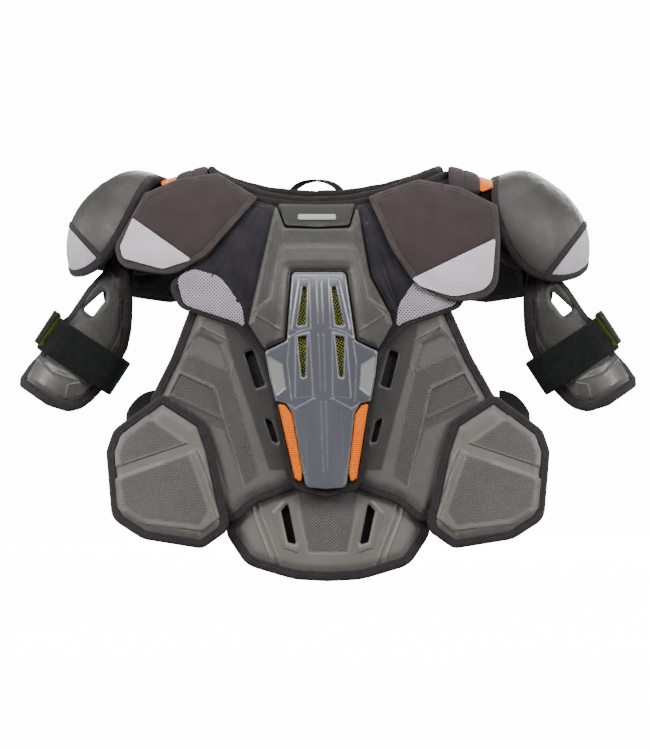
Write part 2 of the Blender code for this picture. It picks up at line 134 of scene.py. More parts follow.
class Look:
    """A material made of nodes that read the flat coordinates, in millimetres."""

    def __init__(self, name, roughness=0.6, **sockets):
        self.material = bpy.data.materials.new(name)
        self.material.use_nodes = True
        self.tree = self.material.node_tree
        self.shader = self.tree.nodes["Principled BSDF"]
        self.shader.inputs["Roughness"].default_value = roughness
        for socket, value in sockets.items():
            self.shader.inputs[socket.replace("_", " ")].default_value = value
        uv = self.tree.nodes.new("ShaderNodeUVMap")
        uv.uv_map = "flat"
        self.flat = uv.outputs["UV"]

    def put(self, socket, value):
        if isinstance(value, bpy.types.NodeSocket):
            self.tree.links.new(value, socket)
        else:
            socket.default_value = value

    def add(self, kind, *values, **settings):
        node = self.tree.nodes.new(kind)
        for key, value in settings.items():
            setattr(node, key, value)
        for socket, value in zip(node.inputs, values):
            if value is not None:
                self.put(socket, value)
        return node

    def math(self, operation, *values):
        return self.add("ShaderNodeMath", *values, operation=operation).outputs[0]

    def mapped(self, pitch, turn=0.0, pitch_across=None):
        node = self.tree.nodes.new("ShaderNodeMapping")
        node.vector_type = "POINT"
        self.tree.links.new(self.flat, node.inputs["Vector"])
        node.inputs["Rotation"].default_value = (0, 0, math.radians(turn))
        scale = self.tree.nodes.new("ShaderNodeMapping")
        self.tree.links.new(node.outputs[0], scale.inputs["Vector"])
        scale.inputs["Scale"].default_value = (1 / pitch, 1 / (pitch_across or pitch), 1)
        return scale.outputs[0]

    def waves(self, pitch, turn=0.0, pitch_across=None):
        """Two sine waves across each other, each from 0 to 1."""
        split = self.add("ShaderNodeSeparateXYZ", self.mapped(pitch, turn, pitch_across))
        found = []
        for axis in (0, 1):
            phase = self.math("MULTIPLY", split.outputs[axis], math.tau)
            found.append(self.math("MULTIPLY_ADD", self.math("SINE", phase), 0.5, 0.5))
        return found

    def noise(self, size, detail=3.0, size_across=None):
        mapped = self.mapped(size, 0.0, size_across)
        node = self.tree.nodes.new("ShaderNodeTexNoise")
        node.noise_dimensions = "2D"
        node.inputs["Scale"].default_value = 1.0
        node.inputs["Detail"].default_value = detail
        self.tree.links.new(mapped, node.inputs["Vector"])
        return node.outputs[0]

    def ramp(self, value, low, high):
        node = self.add("ShaderNodeMapRange", value, low, high, 0.0, 1.0, interpolation_type="SMOOTHSTEP")
        return node.outputs[0]

    def attribute(self, name):
        node = self.tree.nodes.new("ShaderNodeAttribute")
        node.attribute_name = name
        return node.outputs["Fac"]

    def mix(self, factor, first, second):
        node = self.tree.nodes.new("ShaderNodeMix")
        node.data_type = "RGBA"
        for socket, value in (("Factor_Float", factor), ("A_Color", first), ("B_Color", second)):
            place = next(s for s in node.inputs if s.identifier == socket)
            self.put(place, value)
        return next(s for s in node.outputs if s.identifier == "Result_Color")

    def colour(self, value):
        self.put(self.shader.inputs["Base Color"], value)

    def roughness(self, factor, low, high):
        node = self.add("ShaderNodeMapRange", factor, 0.0, 1.0, low, high)
        self.put(self.shader.inputs["Roughness"], node.outputs[0])

    def bump(self, height, millimetres, strength=1.0):
        node = self.tree.nodes.new("ShaderNodeBump")
        node.inputs["Strength"].default_value = strength
        node.inputs["Distance"].default_value = millimetres * MM
        self.tree.links.new(height, node.inputs["Height"])
        old = self.shader.inputs["Normal"]
        if old.is_linked:
            self.tree.links.new(old.links[0].from_socket, node.inputs["Normal"])
        self.tree.links.new(node.outputs[0], old)


LOOKS = {}


def foam(name, pale, dark, knurl=2.7, roughness=0.5):
    """Moulded foam: satin skin, knurled where the grain attribute says, with painted shade where the shade
    attribute says and in the knurl's hollows, and a painted highlight on its bevels.
    """
    look = Look(name, roughness, Specular_IOR_Level=0.45)
    first, second = look.waves(knurl, 45)
    knurls = look.math("MULTIPLY", first, second)
    grain = look.attribute("grain")
    height = look.math("MULTIPLY", knurls, grain)
    cloud = look.ramp(look.noise(60), 0.3, 0.7)
    fine = look.noise(1.1, 2.0)
    base = look.mix(cloud, rgb(dark), rgb(pale))
    speck = look.mix(look.math("MULTIPLY", fine, 0.3), base, rgb("1a1917"))
    # Painted shade: the hollows between the knurl's bumps are darkened, standing in for the shade in them.
    knurl_hollow_shade = look.math("MULTIPLY", look.math("SUBTRACT", 1.0, knurls), look.math("MULTIPLY", grain, 0.6))
    knurl_shaded = look.mix(knurl_hollow_shade, speck, rgb("141411"))
    # Painted shade: darker where the shade attribute says, standing in for shadow.
    shaded = look.mix(look.math("MULTIPLY", look.attribute("painted_shade"), 0.75), knurl_shaded, rgb("1a1817"))
    # Painted highlight: paler where the relief is steep, standing in for light caught on the bevels.
    bevel = look.math("MULTIPLY", look.ramp(look.attribute("bevel"), 0.3, 1.0), 0.11)
    look.colour(look.mix(bevel, shaded, rgb("8d8c82")))
    look.roughness(look.ramp(look.noise(14), 0.25, 0.75), roughness - 0.07, roughness + 0.1)
    look.bump(fine, 0.12, 0.6)
    look.bump(height, 0.45)
    LOOKS[name] = look


def cloth(name, pale, dark, pitch=0.9, turn=0.0, bump=0.25, roughness=0.88, sheen=0.06, fuzz=0.2):
    """Woven or knitted cloth: two crossing threads, with soft uneven dye and a little fuzz."""
    look = Look(name, roughness, Sheen_Weight=sheen, Sheen_Roughness=0.5, Specular_IOR_Level=0.15)
    first, second = look.waves(pitch, turn)
    threads = look.math("ABSOLUTE", look.math("SUBTRACT", first, second))
    cloud = look.ramp(look.noise(26), 0.3, 0.72)
    base = look.mix(cloud, rgb(dark), rgb(pale))
    shade = look.math("MULTIPLY", look.math("SUBTRACT", 1.0, threads), 0.3)
    dull = look.mix(shade, base, rgb("121112"))
    lint = look.math("MULTIPLY", look.ramp(look.noise(0.6, 2.0), 0.55, 0.9), fuzz * 0.35)
    look.colour(look.mix(lint, dull, rgb("8b8588")))
    look.roughness(look.noise(9), roughness - 0.08, min(1.0, roughness + 0.08))
    look.bump(threads, bump)
    LOOKS[name] = look


def mesh_cloth(name, thread, hole, pitch=3.0, size=0.34, turn=45.0, bump=0.5, other=None):
    """Open-hole mesh: threads round small dark holes in slanting rows."""
    look = Look(name, 0.78, Sheen_Weight=0.05, Specular_IOR_Level=0.2)
    node = look.tree.nodes.new("ShaderNodeTexVoronoi")
    node.voronoi_dimensions = "2D"
    node.inputs["Scale"].default_value = 1.0
    node.inputs["Randomness"].default_value = 0.0
    look.tree.links.new(look.mapped(pitch, turn), node.inputs["Vector"])
    solid = look.ramp(node.outputs["Distance"], size - 0.1, size + 0.08)
    first, second = look.waves(0.55, 20)
    fibre = look.math("MULTIPLY", first, second)
    cloud = look.ramp(look.noise(22), 0.3, 0.7)
    yarn = look.mix(look.math("MULTIPLY", cloud, 0.5), rgb(thread), rgb(other or thread))
    yarn = look.mix(look.math("MULTIPLY", fibre, 0.18), yarn, rgb("77747a"))
    look.colour(look.mix(solid, rgb(hole), yarn))
    look.bump(solid, bump)
    look.bump(fibre, 0.12)
    LOOKS[name] = look


def taped(name, pale, dark, width):
    """Woven binding tape: fine cross ribs, rolled edges and one row of stitches along its middle."""
    look = Look(name, 0.8, Sheen_Weight=0.08, Sheen_Roughness=0.45, Specular_IOR_Level=0.25)
    split = look.add("ShaderNodeSeparateXYZ", look.flat)
    along, across = split.outputs[0], split.outputs[1]
    ribs = look.waves(1.1, 0, 0.9)
    weave = look.math("MULTIPLY", ribs[0], ribs[1])
    base = look.mix(look.ramp(look.noise(12), 0.3, 0.7), rgb(dark), rgb(pale))
    base = look.mix(look.math("MULTIPLY", weave, 0.35), base, rgb("1c191b"))
    step = look.math("PINGPONG", along, 2.1)
    on_thread = look.ramp(step, 0.55, 0.95)
    near = look.math("ABSOLUTE", look.math("SUBTRACT", across, width * 0.46))
    line = look.math("SUBTRACT", 1.0, look.ramp(near, 0.35, 0.75))
    stitch = look.math("MULTIPLY", line, on_thread)
    # Painted shade: the groove that the stitches sink into is darkened, standing in for the shade in it.
    dent = look.math("SUBTRACT", 1.0, look.ramp(near, 0.3, 1.6))
    base = look.mix(look.math("MULTIPLY", dent, 0.3), base, rgb("171416"))
    look.colour(look.mix(look.math("MULTIPLY", stitch, 0.45), base, rgb("4a3f43")))
    look.bump(weave, 0.18)
    look.bump(look.math("SUBTRACT", stitch, look.math("MULTIPLY", dent, 1.2)), 0.5)
    LOOKS[name] = look


def ribbed(name, pale, dark, pitch=1.6, bump=0.5, roughness=0.9, turn=0.0):
    """Elastic or webbing: cords side by side, crossed by fine yarns."""
    look = Look(name, roughness, Sheen_Weight=0.04, Specular_IOR_Level=0.12)
    first, second = look.waves(pitch, turn, pitch * 0.55)
    cords = look.math("POWER", first, 0.6)
    yarns = look.math("MULTIPLY", cords, look.math("MULTIPLY_ADD", second, 0.3, 0.7))
    base = look.mix(look.ramp(look.noise(10), 0.3, 0.7), rgb(dark), rgb(pale))
    # Painted shade: the gaps between the cords and yarns are darkened, standing in for the shade in them.
    look.colour(
        look.mix(look.math("MULTIPLY", look.math("SUBTRACT", 1.0, yarns), 0.55), base, rgb("0b0b0b"))
    )
    look.bump(yarns, bump)
    LOOKS[name] = look


def plastic(name, pale, dark, roughness=0.3, coat=0.4, streak=None, shine=0.32):
    """Moulded plastic: a clear coat over a cloudy body, with a painted highlight on its bevels, and paler
    where the grain attribute says.
    """
    look = Look(name, roughness, Coat_Weight=coat, Coat_Roughness=0.18, Specular_IOR_Level=0.5)
    cloud = look.ramp(look.noise(30, 1.0, streak), 0.1, 0.9)
    base = look.mix(cloud, rgb(dark), rgb(pale))
    base = look.mix(look.math("MULTIPLY", look.attribute("grain"), 0.5), base, rgb("a09f9a"))
    # Painted highlight: paler where the relief is steep, as strong as shine says, standing in for light
    # caught on the bevels.
    bevel = look.math("MULTIPLY", look.ramp(look.attribute("bevel"), 0.2, 0.9), shine)
    look.colour(look.mix(bevel, base, rgb("a2a4aa")))
    LOOKS[name] = look


foam("foam_chest", "575450", "514e4a")
foam("foam_rib", "6b6763", "63605b")
foam("foam_core", "43403d", "3d3a37", knurl=2.2)
foam("foam_arm", "4c4947", "43403e", knurl=1.5, roughness=0.4)
foam("foam_cap", "45423e", "3d3b37", knurl=2.0, roughness=0.45)
taped("tape_wide", "2d2528", "241d20", 11)
taped("tape_narrow", "3f3836", "362f2d", 8)
taped("tape_dark", "2e282a", "241f21", 10)
cloth("cloth_flap", "3f3535", "3a3131", 0.8, bump=0.2)
cloth("cloth_purple", "2c2930", "211f26", 1.0, 45, 0.3)
cloth("cloth_collar", "2d2625", "25201e", 0.7, 20, 0.22)
cloth("cloth_black", "161617", "0f0f11", 1.2, 45, 0.4, 0.9)
cloth("cloth_sleeve", "2c2b29", "242321", 0.9, 0, 0.25, 0.7)
mesh_cloth("mesh_white", "aaa3ad", "3a353f", 2.9, 0.3, other="969099")
mesh_cloth("mesh_fine", "d2ccd1", "77727b", 2.1, 0.28, other="c0bac0", bump=0.4)
mesh_cloth("mesh_black", "1d1e20", "050506", 3.0, 0.32)
mesh_cloth("mesh_purple", "35313a", "131116", 2.4, 0.3)
mesh_cloth("mesh_lime", "8f8e2c", "050503", 2.9, 0.42, turn=30, bump=0.8, other="9c9c2c")
cloth("orange_weave", "ff7e00", "fa7200", 3.4, 45, 0.6, 0.5, 0.0, 0.0)
ribbed("elastic_black", "1d1e1e", "171818")
ribbed("webbing_black", "201f20", "171617", 1.2, 0.5, 0.85, 90)
ribbed("loop_lime", "6a7016", "3c410d", 1.3, 0.4)
plastic("plate_clear", "505258", "46484e", 0.3, 0.35, 160, shine=0.2)
plastic("plate_light", "8b8c89", "7d7e7a", 0.3, 0.4)
plastic("badge_dark", "1b1a18", "151412", 0.5, 0.05, shine=0.06)
plastic("spine_plastic", "3a3a36", "2f2f2b", 0.4, 0.2)


# Flat panels.


def smooth(value):
    value = np.clip(value, 0.0, 1.0)
    return value * value * (3 - 2 * value)


class Outline:
    """A closed outline with rounded corners, and the matching rows inside it."""

    def __init__(self, corners, step=2.5):
        spots = np.array([corner[:2] for corner in corners], float)
        radii = np.array([corner[2] if len(corner) > 2 else 0.5 for corner in corners], float)
        x, z = spots[:, 0], spots[:, 1]
        if (x * np.roll(z, -1) - np.roll(x, -1) * z).sum() < 0:
            spots, radii = spots[::-1], radii[::-1]
        self.spots, self.radii = spots, radii
        at, along, turn, tangent = self.bends(0.0)
        self.arcs = np.maximum(1, np.ceil(np.abs(turn) / math.radians(12))).astype(int)
        self.arcs[np.abs(turn) < math.radians(1)] = 0
        gap = np.linalg.norm(np.roll(at, -1, 0) - at, axis=1) - tangent - np.roll(tangent, -1)
        self.straights = np.maximum(1, np.ceil(gap / step)).astype(int)
        self.loop = self.row(0.0)

    def bends(self, u):
        along = np.roll(self.spots, -1, 0) - self.spots
        along /= np.linalg.norm(along, axis=1)[:, None]
        inward = np.stack([-along[:, 1], along[:, 0]], 1)
        before, inward_before = np.roll(along, 1, 0), np.roll(inward, 1, 0)
        facing = 1 + (inward * inward_before).sum(1)
        at = self.spots + u * (inward + inward_before) / facing[:, None]
        cross = before[:, 0] * along[:, 1] - before[:, 1] * along[:, 0]
        turn = np.arctan2(cross, (before * along).sum(1))
        radius = np.maximum(self.radii - u * np.sign(turn), 0.3)
        length = np.linalg.norm(np.roll(at, -1, 0) - at, axis=1)
        longest = 0.48 * np.minimum(length, np.roll(length, 1))
        tangent = np.minimum(radius * np.tan(np.abs(turn) / 2), longest)
        return at, along, turn, tangent

    def row(self, u):
        at, along, turn, tangent = self.bends(u)
        inward = np.stack([-along[:, 1], along[:, 0]], 1)
        found = []
        for i in range(len(at)):
            before, across = along[i - 1], inward[i - 1] * np.sign(turn[i])
            start = at[i] - before * tangent[i]
            if self.arcs[i]:
                radius = tangent[i] / math.tan(abs(turn[i]) / 2)
                for k in range(self.arcs[i] + 1):
                    a = abs(turn[i]) * k / self.arcs[i]
                    found.append(start + radius * (math.sin(a) * before + (1 - math.cos(a)) * across))
            else:
                found.append(at[i])
            j = (i + 1) % len(at)
            end, after = at[i] + along[i] * tangent[i], at[j] - along[i] * tangent[j]
            for k in range(1, self.straights[i]):
                found.append(end + (after - end) * k / self.straights[i])
        return np.array(found)


def spaced(line, step):
    """Points along an open line, no further apart than the step."""
    line = np.array([corner[:2] for corner in line], float)
    found = []
    for a, b in zip(line, line[1:]):
        count = max(1, math.ceil(np.linalg.norm(b - a) / step))
        found += [a + (b - a) * k / count for k in range(count)]
    return np.array([*found, line[-1]])


def away(points, line, closed=False):
    """How far each point is from a line of straight pieces."""
    line = np.array([corner[:2] for corner in line], float)
    a, b = (line, np.roll(line, -1, 0)) if closed else (line[:-1], line[1:])
    best = np.full(len(points), 1e9)
    for start, end in zip(a, b):
        way = end - start
        t = np.clip(((points - start) @ way) / max(way @ way, 1e-12), 0, 1)
        best = np.minimum(best, np.linalg.norm(points - start - t[:, None] * way, axis=1))
    return best


def within(points, loop):
    """How far each point is inside a closed loop: negative outside it."""
    loop = np.array([corner[:2] for corner in loop], float)
    inside = np.zeros(len(points), bool)
    for (x0, z0), (x1, z1) in zip(loop, np.roll(loop, -1, 0)):
        crosses = (z0 > points[:, 1]) != (z1 > points[:, 1])
        if z0 != z1:
            inside ^= crosses & (points[:, 0] < (x1 - x0) * (points[:, 1] - z0) / (z1 - z0) + x0)
    return away(points, loop, True) * np.where(inside, 1, -1)


def relief_at(points, features):
    """The height that the features add. Each is (kind, places, height, width)."""
    height = np.zeros(len(points))
    for kind, line, amount, width in features:
        if kind == "rise":
            height += amount * smooth(within(points, Outline(line).loop) / width)
        elif kind == "bead":
            height += amount * smooth(1 - away(points, line) / (width / 2))
        elif kind == "slope":
            height += amount * np.clip(1 - away(points, line) / width, 0, 1)
    return height


def guides(features):
    """Where the mesh needs points, so that the features come out crisp."""
    found = []
    for kind, line, amount, width in features:
        if kind == "rise":
            outline = Outline(line, 1.6)
            found += [outline.loop, outline.row(width)]
        elif kind == "bead":
            middle = spaced(line, 1.5)
            way = np.gradient(middle, axis=0)
            way /= np.maximum(np.linalg.norm(way, axis=1), 1e-9)[:, None]
            across = np.stack([-way[:, 1], way[:, 0]], 1) * width / 2
            found += [middle, middle + across, middle - across]
            if width > 4:
                found += [middle + across / 2, middle - across / 2]
        elif kind == "slope":
            found.append(spaced(line, 1.6))
    return found


def tree_of(points):
    tree = kdtree.KDTree(len(points))
    for i, (x, z) in enumerate(points):
        tree.insert((x, z, 0), i)
    tree.balance()
    return tree


def triangles(loops, rows, extra, step):
    """Points and triangles that fill the first loop and leave out the others."""
    outer, holes = loops[0], loops[1:]
    kept = [*loops, *rows]
    fixed = np.vstack(kept)
    if len(extra):
        extra = extra[within(extra, outer) > 0.7]
        for hole in holes:
            extra = extra[within(extra, hole) < -0.7]
        tree, chosen = tree_of(fixed), []
        for x, z in extra:
            if tree.find((x, z, 0))[2] > 0.5:
                chosen.append((x, z))
        fixed = np.vstack([fixed, np.array(chosen)]) if chosen else fixed
    low, high = outer.min(0), outer.max(0)
    rise = step * math.sqrt(3) / 2
    zs = np.arange(low[1], high[1], rise)
    grid = [
        (x + (i % 2) * step / 2, z) for i, z in enumerate(zs) for x in np.arange(low[0], high[0], step)
    ]
    grid = np.array(grid)
    grid = grid[within(grid, outer) > 0.5 * step]
    for hole in holes:
        grid = grid[within(grid, hole) < -0.5 * step]
    tree = tree_of(fixed)
    grid = np.array([p for p in grid if tree.find((*p, 0))[2] > 0.55 * step]).reshape(-1, 2)
    verts = [Vector(p) for p in np.vstack([fixed, grid])]
    edges, first = [], 0
    for loop in kept:
        count = len(loop)
        edges += [(first + i, first + (i + 1) % count) for i in range(count)]
        first += count
    made = geometry.delaunay_2d_cdt(verts, edges, [], 1, 1e-5, False)
    points = np.array([tuple(v) for v in made[0]])
    faces = np.array([f for f in made[2] if len(f) == 3])
    middle = points[faces].mean(1)
    good = within(middle, outer) > 0
    for hole in holes:
        good &= within(middle, hole) < 0
    return points, faces[good]


def finish_mesh(name, verts, faces, look, uv, attributes=(), sharp=48):
    """Makes the object. Its flat coordinates are given for each vertex or for each corner of each face."""
    mesh = bpy.data.meshes.new(name)
    mesh.from_pydata((np.asarray(verts) * MM).tolist(), [], faces)
    layer = mesh.uv_layers.new(name="flat")
    flat = np.asarray(uv, float)
    if len(flat) == len(mesh.vertices):
        index = np.empty(len(mesh.loops), int)
        mesh.loops.foreach_get("vertex_index", index)
        flat = flat[index]
    layer.data.foreach_set("uv", flat.ravel())
    for key, values in attributes:
        mesh.attributes.new(key, "FLOAT", "POINT").data.foreach_set("value", np.asarray(values, float))
    looks = look if isinstance(look, (list, tuple)) else [look]
    for one in looks:
        mesh.materials.append(LOOKS[one].material)
    mesh.shade_smooth()
    mesh.set_sharp_from_angle(angle=math.radians(sharp))
    obj = bpy.data.objects.new(name, mesh)
    bpy.context.scene.collection.objects.link(obj)
    return obj


def turned_out(obj):
    """Turns every face outwards."""
    bm = bmesh.new()
    bm.from_mesh(obj.data)
    bmesh.ops.recalc_face_normals(bm, faces=bm.faces[:])
    bm.to_mesh(obj.data)
    bm.free()
    return obj


# Edges: how far inside the outline, and how much lower than the pad's face.
ROUND = [(0, 2.2), (0.4, 1.2), (1.0, 0.5), (2.0, 0.1), (3.0, 0)]
SOFT = [(0, 4.2), (0.7, 2.6), (2, 1.3), (4, 0.5), (8, 0)]
LINING = [(0, 1.6), (0.7, 0.8), (2, 0.2), (4, 0)]
MESH = [(0, 0.3), (0.5, 0)]
VENT = ((0, 1.6), (0.6, 0.8), (2.2, 0))
INSET = 1.4  # how far a bound pad stops short of its outline, inside its tape
BACK_STEP = 9.0


def panel(
    name, outline, form, depths, look, side=1, edge=ROUND, inset=0.0, features=(), holes=(),
    hole_edge=VENT, grain=(), plain=(), painted_shade=(), edge_shade=0.0, step=2.3, wave=None,
):
    """One closed pad: a flat slab with relief on its outer face, laid on a form.

    The depths are those of its inner and outer faces. An edge is a list of (how far inside, how much
    lower). Grain and painted shade are areas that the looks read, and plain areas are cut out of the grain.
    The shade areas, and a band inside the outline where an edge shade width is given, are painted shade
    that stands in for shadow.
    """
    shape = outline if isinstance(outline, Outline) else Outline(outline)
    holes = [Outline(hole, 1.5) for hole in holes]
    loops = [shape.row(inset), *[hole.loop for hole in holes]]
    rows = [shape.row(u) for u, _ in edge if u > inset]
    rows += [hole.row(-v) for hole in holes for v, _ in hole_edge if v > 0]
    extra = guides(features)
    extra = np.vstack(extra) if extra else np.zeros((0, 2))
    points, faces = triangles(loops, rows, extra, step)
    u = within(points, shape.loop)
    drop = np.interp(u, [e[0] for e in edge], [e[1] for e in edge])
    for hole in holes:
        v = -within(points, hole.loop)
        drop = np.maximum(drop, np.interp(v, [e[0] for e in hole_edge], [e[1] for e in hole_edge]))
    height = depths[1] - drop + relief_at(points, features)
    if wave:
        height += wave(points, u)
    height = np.maximum(height, depths[0] + 0.6)
    mask = np.zeros(len(points))
    for area in grain:
        mask = np.maximum(mask, smooth(within(points, Outline(area).loop) / 1.5))
    for area in plain:
        mask *= 1 - smooth(within(points, Outline(area).loop) / 1.5)
    # Painted shade: the given shade areas darken the colour, standing in for shadow.
    shade = np.zeros(len(points))
    for area in painted_shade:
        shade = np.maximum(shade, smooth(within(points, Outline(area).loop) / 2.5))
    # Painted shade: a band just inside the outline darkens towards the edge, standing in for the shade by the
    # binding.
    if edge_shade:
        shade = np.maximum(shade, 0.45 * (1 - smooth((u - 10) / edge_shade)))
    back_points, back_faces = triangles(loops, [], np.zeros((0, 2)), BACK_STEP)
    key = {tuple(np.round(p, 3)): i for i, p in enumerate(back_points)}
    count = len(points)
    edges = np.sort(np.vstack([faces[:, [0, 1]], faces[:, [1, 2]], faces[:, [2, 0]]]), 1)
    ends, uses = np.unique(edges, axis=0, return_counts=True)
    wall = []
    for a, b in ends[uses == 1]:
        c, d = key.get(tuple(np.round(points[b], 3))), key.get(tuple(np.round(points[a], 3)))
        if c is not None and d is not None:
            wall.append((int(a), int(b), c + count, d + count))
    flat = np.vstack([points, back_points])
    depth = np.concatenate([height, np.full(len(back_points), float(depths[0]))])
    none = np.zeros(len(back_points))
    mask, shade = np.concatenate([mask, none]), np.concatenate([shade, none])
    # How steep the relief is, for the painted highlight on the bevels.
    steep = np.zeros(len(flat))
    tall = np.ptp(height[faces], axis=1)
    wide = np.linalg.norm(points[faces[:, 0]] - points[faces[:, 1]], axis=1)
    slope = np.clip(tall / np.maximum(wide, 0.6), 0, 1)
    for k in range(3):
        np.maximum.at(steep, faces[:, k], slope)
    verts = form(flat[:, 0], flat[:, 1], depth, side)
    every = [tuple(f) for f in faces.tolist()] + [
        tuple(f) for f in (back_faces[:, ::-1] + count).tolist()
    ] + wall
    obj = finish_mesh(name, verts, every, look, flat, [("grain", mask), ("bevel", steep), ("painted_shade", shade)])
    return turned_out(obj)


def ring(name, sections, look, uv, cyclic=True, sharp=60):
    """A closed tube or strip: sections[i, j] is place j of section i."""
    count, size = sections.shape[:2]
    verts = sections.reshape(-1, 3)
    last = count if cyclic else count - 1
    faces, flat = [], []
    along, across = uv
    for i in range(last):
        n = (i + 1) % count
        for j in range(size):
            m = (j + 1) % size
            faces.append((i * size + j, n * size + j, n * size + m, i * size + m))
            flat += [
                (along[i], across[j]), (along[i + 1], across[j]), (along[i + 1], across[j + 1]),
                (along[i], across[j + 1]),
            ]
    if not cyclic:
        for i in (0, count - 1):
            faces.append(tuple(i * size + j for j in range(size)))
            flat += [(along[i], across[j]) for j in range(size)]
    return turned_out(finish_mesh(name, verts, faces, look, flat, sharp=sharp))


def lengths(line, closed=True):
    """Distance along a line, with one more value than points where it closes."""
    ends = np.vstack([line, line[:1]]) if closed else line
    return np.concatenate([[0], np.cumsum(np.linalg.norm(np.diff(ends, axis=0), axis=1))])


def binding(name, outline, form, top, bottom, look, side=1, width=11.0, behind=8.0, thick=2.0):
    """Tape folded over a pad's edge: its section runs from the front, round the edge, to the back."""
    shape = outline if isinstance(outline, Outline) else Outline(outline)
    section = [
        (width, top + 0.1), (width - 0.4, top + 0.5 * thick), (width - 1.6, top + 0.9 * thick),
        (width * 0.6, top + thick + 0.2), (width * 0.46, top + thick - 0.25),
        (width * 0.3, top + thick + 0.05), (1.8, top + 0.75 * thick), (0.6, top + 0.2 * thick),
        (0.0, top - 0.8), (0.0, bottom + 0.6), (0.8, bottom - 0.5), (2.0, bottom - 0.9),
        (behind - 0.8, bottom - 0.9), (behind, bottom - 0.1), (behind - 0.5, bottom + 0.1),
        (1.3, bottom + 0.1), (1.2, top - 0.1), (width - 0.5, top - 0.1),
    ]
    rows = [shape.row(u) for u, _ in section]
    along = lengths(rows[4])
    ripple = 0.16 * np.sin(along[:-1] / 3.1) + 0.14 * np.sin(along[:-1] / 7.7 + 1.3)
    sections = []
    for j, (row, (u, depth)) in enumerate(zip(rows, section)):
        sections.append(form(row[:, 0], row[:, 1], depth + (ripple if 1 < j < 7 else 0), side))
    across = lengths(np.array(section))
    return ring(name, np.stack(sections, 1), look, (along, across))


def piece(obj, body, slot, *nodes, fill=None):
    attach(obj, body)
    if nodes:
        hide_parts(*nodes)
    return obj


def taped_edge(name, outline, form, top, bottom, look, body, side=1, **sizes):
    """The binding of a pad's edge, as a piece of its own."""
    return piece(binding(name, outline, form, top, bottom, look, side, **sizes), body, "dark_cloth")


def flipped(loop):
    return [(-corner[0], *corner[1:]) for corner in loop]


def both(features):
    """The features and their mirror images across the middle line."""
    return features + [(kind, flipped(line), amount, width) for kind, line, amount, width in features]


def both_areas(areas):
    return areas + [flipped(area) for area in areas]


def mirrored(half):
    """A whole outline from the half of it at +X, which starts and ends on the middle line."""
    return half + [(-corner[0], *corner[1:]) for corner in reversed(half) if corner[0] > 0]


def box_outline(x0, z0, x1, z1, radius):
    return [(x0, z0, radius), (x1, z0, radius), (x1, z1, radius), (x0, z1, radius)]


def bound_edge(width, low, bevel=5.0):
    """The edge of a pad whose rim is thinner, to leave room for its tape."""
    return [
        (0, low), (width - 1, low), (width + bevel * 0.5, low * 0.45), (width + bevel, low * 0.08),
        (width + bevel + 3, 0),
    ]


# The middle of the front.

CHEST_VENTS = [
    [(92, -184, 2), (82, -180, 2), (69, -222, 2), (80, -226, 2)],
    [(71, -260, 2), (62, -266, 2), (55, -292, 2), (62, -289, 2)],
]
BELLY_VENT = [(48, -363, 2), (56, -373, 2), (48, -410, 2), (38, -413, 2)]
PLATE_VENTS = [
    [(15, -105, 1), (19.4, -104, 1), (27.5, -151, 1), (18.2, -150, 1)],
    [(17.4, -163, 1), (27.6, -165, 1), (24.4, -213, 1), (20.6, -212, 1)],
]
WING_CORNER = [
    (171, -92, 12), (150, -83, 14), (118, -92, 24), (93, -128, 24), (90, -154, 3), (100, -147, 30),
    (163, -126, 14),
]


def bib():
    outline = mirrored(
        [
            (0, -6), (64, -2, 4), (88, 3, 6), (150, -78, 20), (182, -102, 14), (168, -130, 16),
            (104, -152, 26), (75, -184, 40), (62, -232, 60), (56, -276, 60), (48, -322, 30),
            (38, -347, 16), (0, -357),
        ]
    )
    folds = [
        ("bead", [(-70, -6), (-86, -40), (-94, -80), (-98, -122)], 2.2, 9),
        ("bead", [(-84, -12), (-108, -60), (-128, -92)], 1.4, 10),
        ("bead", [(-60, -20), (-78, -70), (-90, -126)], -1.6, 8),
        ("bead", [(58, -8), (66, -50), (74, -96), (88, -140)], 3.0, 12),
        ("bead", [(72, -14), (86, -60), (96, -104)], -1.8, 9),
        ("bead", [(96, -30), (112, -70), (124, -96)], 1.6, 11),
    ]
    edge = bound_edge(8, 2.6, 3)
    piece(
        panel(
            "bib_face", outline, on_hanging_front, (27.5, 32.6), "cloth_purple", edge=edge, inset=INSET,
            features=folds,
        ),
        "torso", "purple_cloth", "bib_pad", fill=0.8,
    )
    curl = [
        (54, -26, 6), (60, -66, 20), (64, -94, 16), (84, -134, 4), (92, -138, 3), (90, -120, 10),
        (82, -92, 20), (72, -60, 30), (64, -26, 6),
    ]
    lips = [
        ("bead", [(60, -30), (65, -66), (69, -92), (86, -130)], 2.6, 7),
        ("bead", [(64, -30), (71, -66), (76, -92), (88, -122)], -2.0, 4),
    ]
    roll_edge = [(0, 5.5), (0.7, 3.4), (2.2, 1.6), (4.5, 0.4), (6, 0)]
    piece(
        panel(
            "bib_fold", curl, on_hanging_front, (33.0, 40.5), "cloth_purple", edge=roll_edge,
            features=lips, step=2.6,
        ),
        "torso", "purple_cloth", fill=0.4,
    )
    taped_edge(
        "bib_binding", outline, on_hanging_front, 30.4, 27.2, "tape_dark", "torso", width=8.5, behind=8,
        thick=1.2,
    )


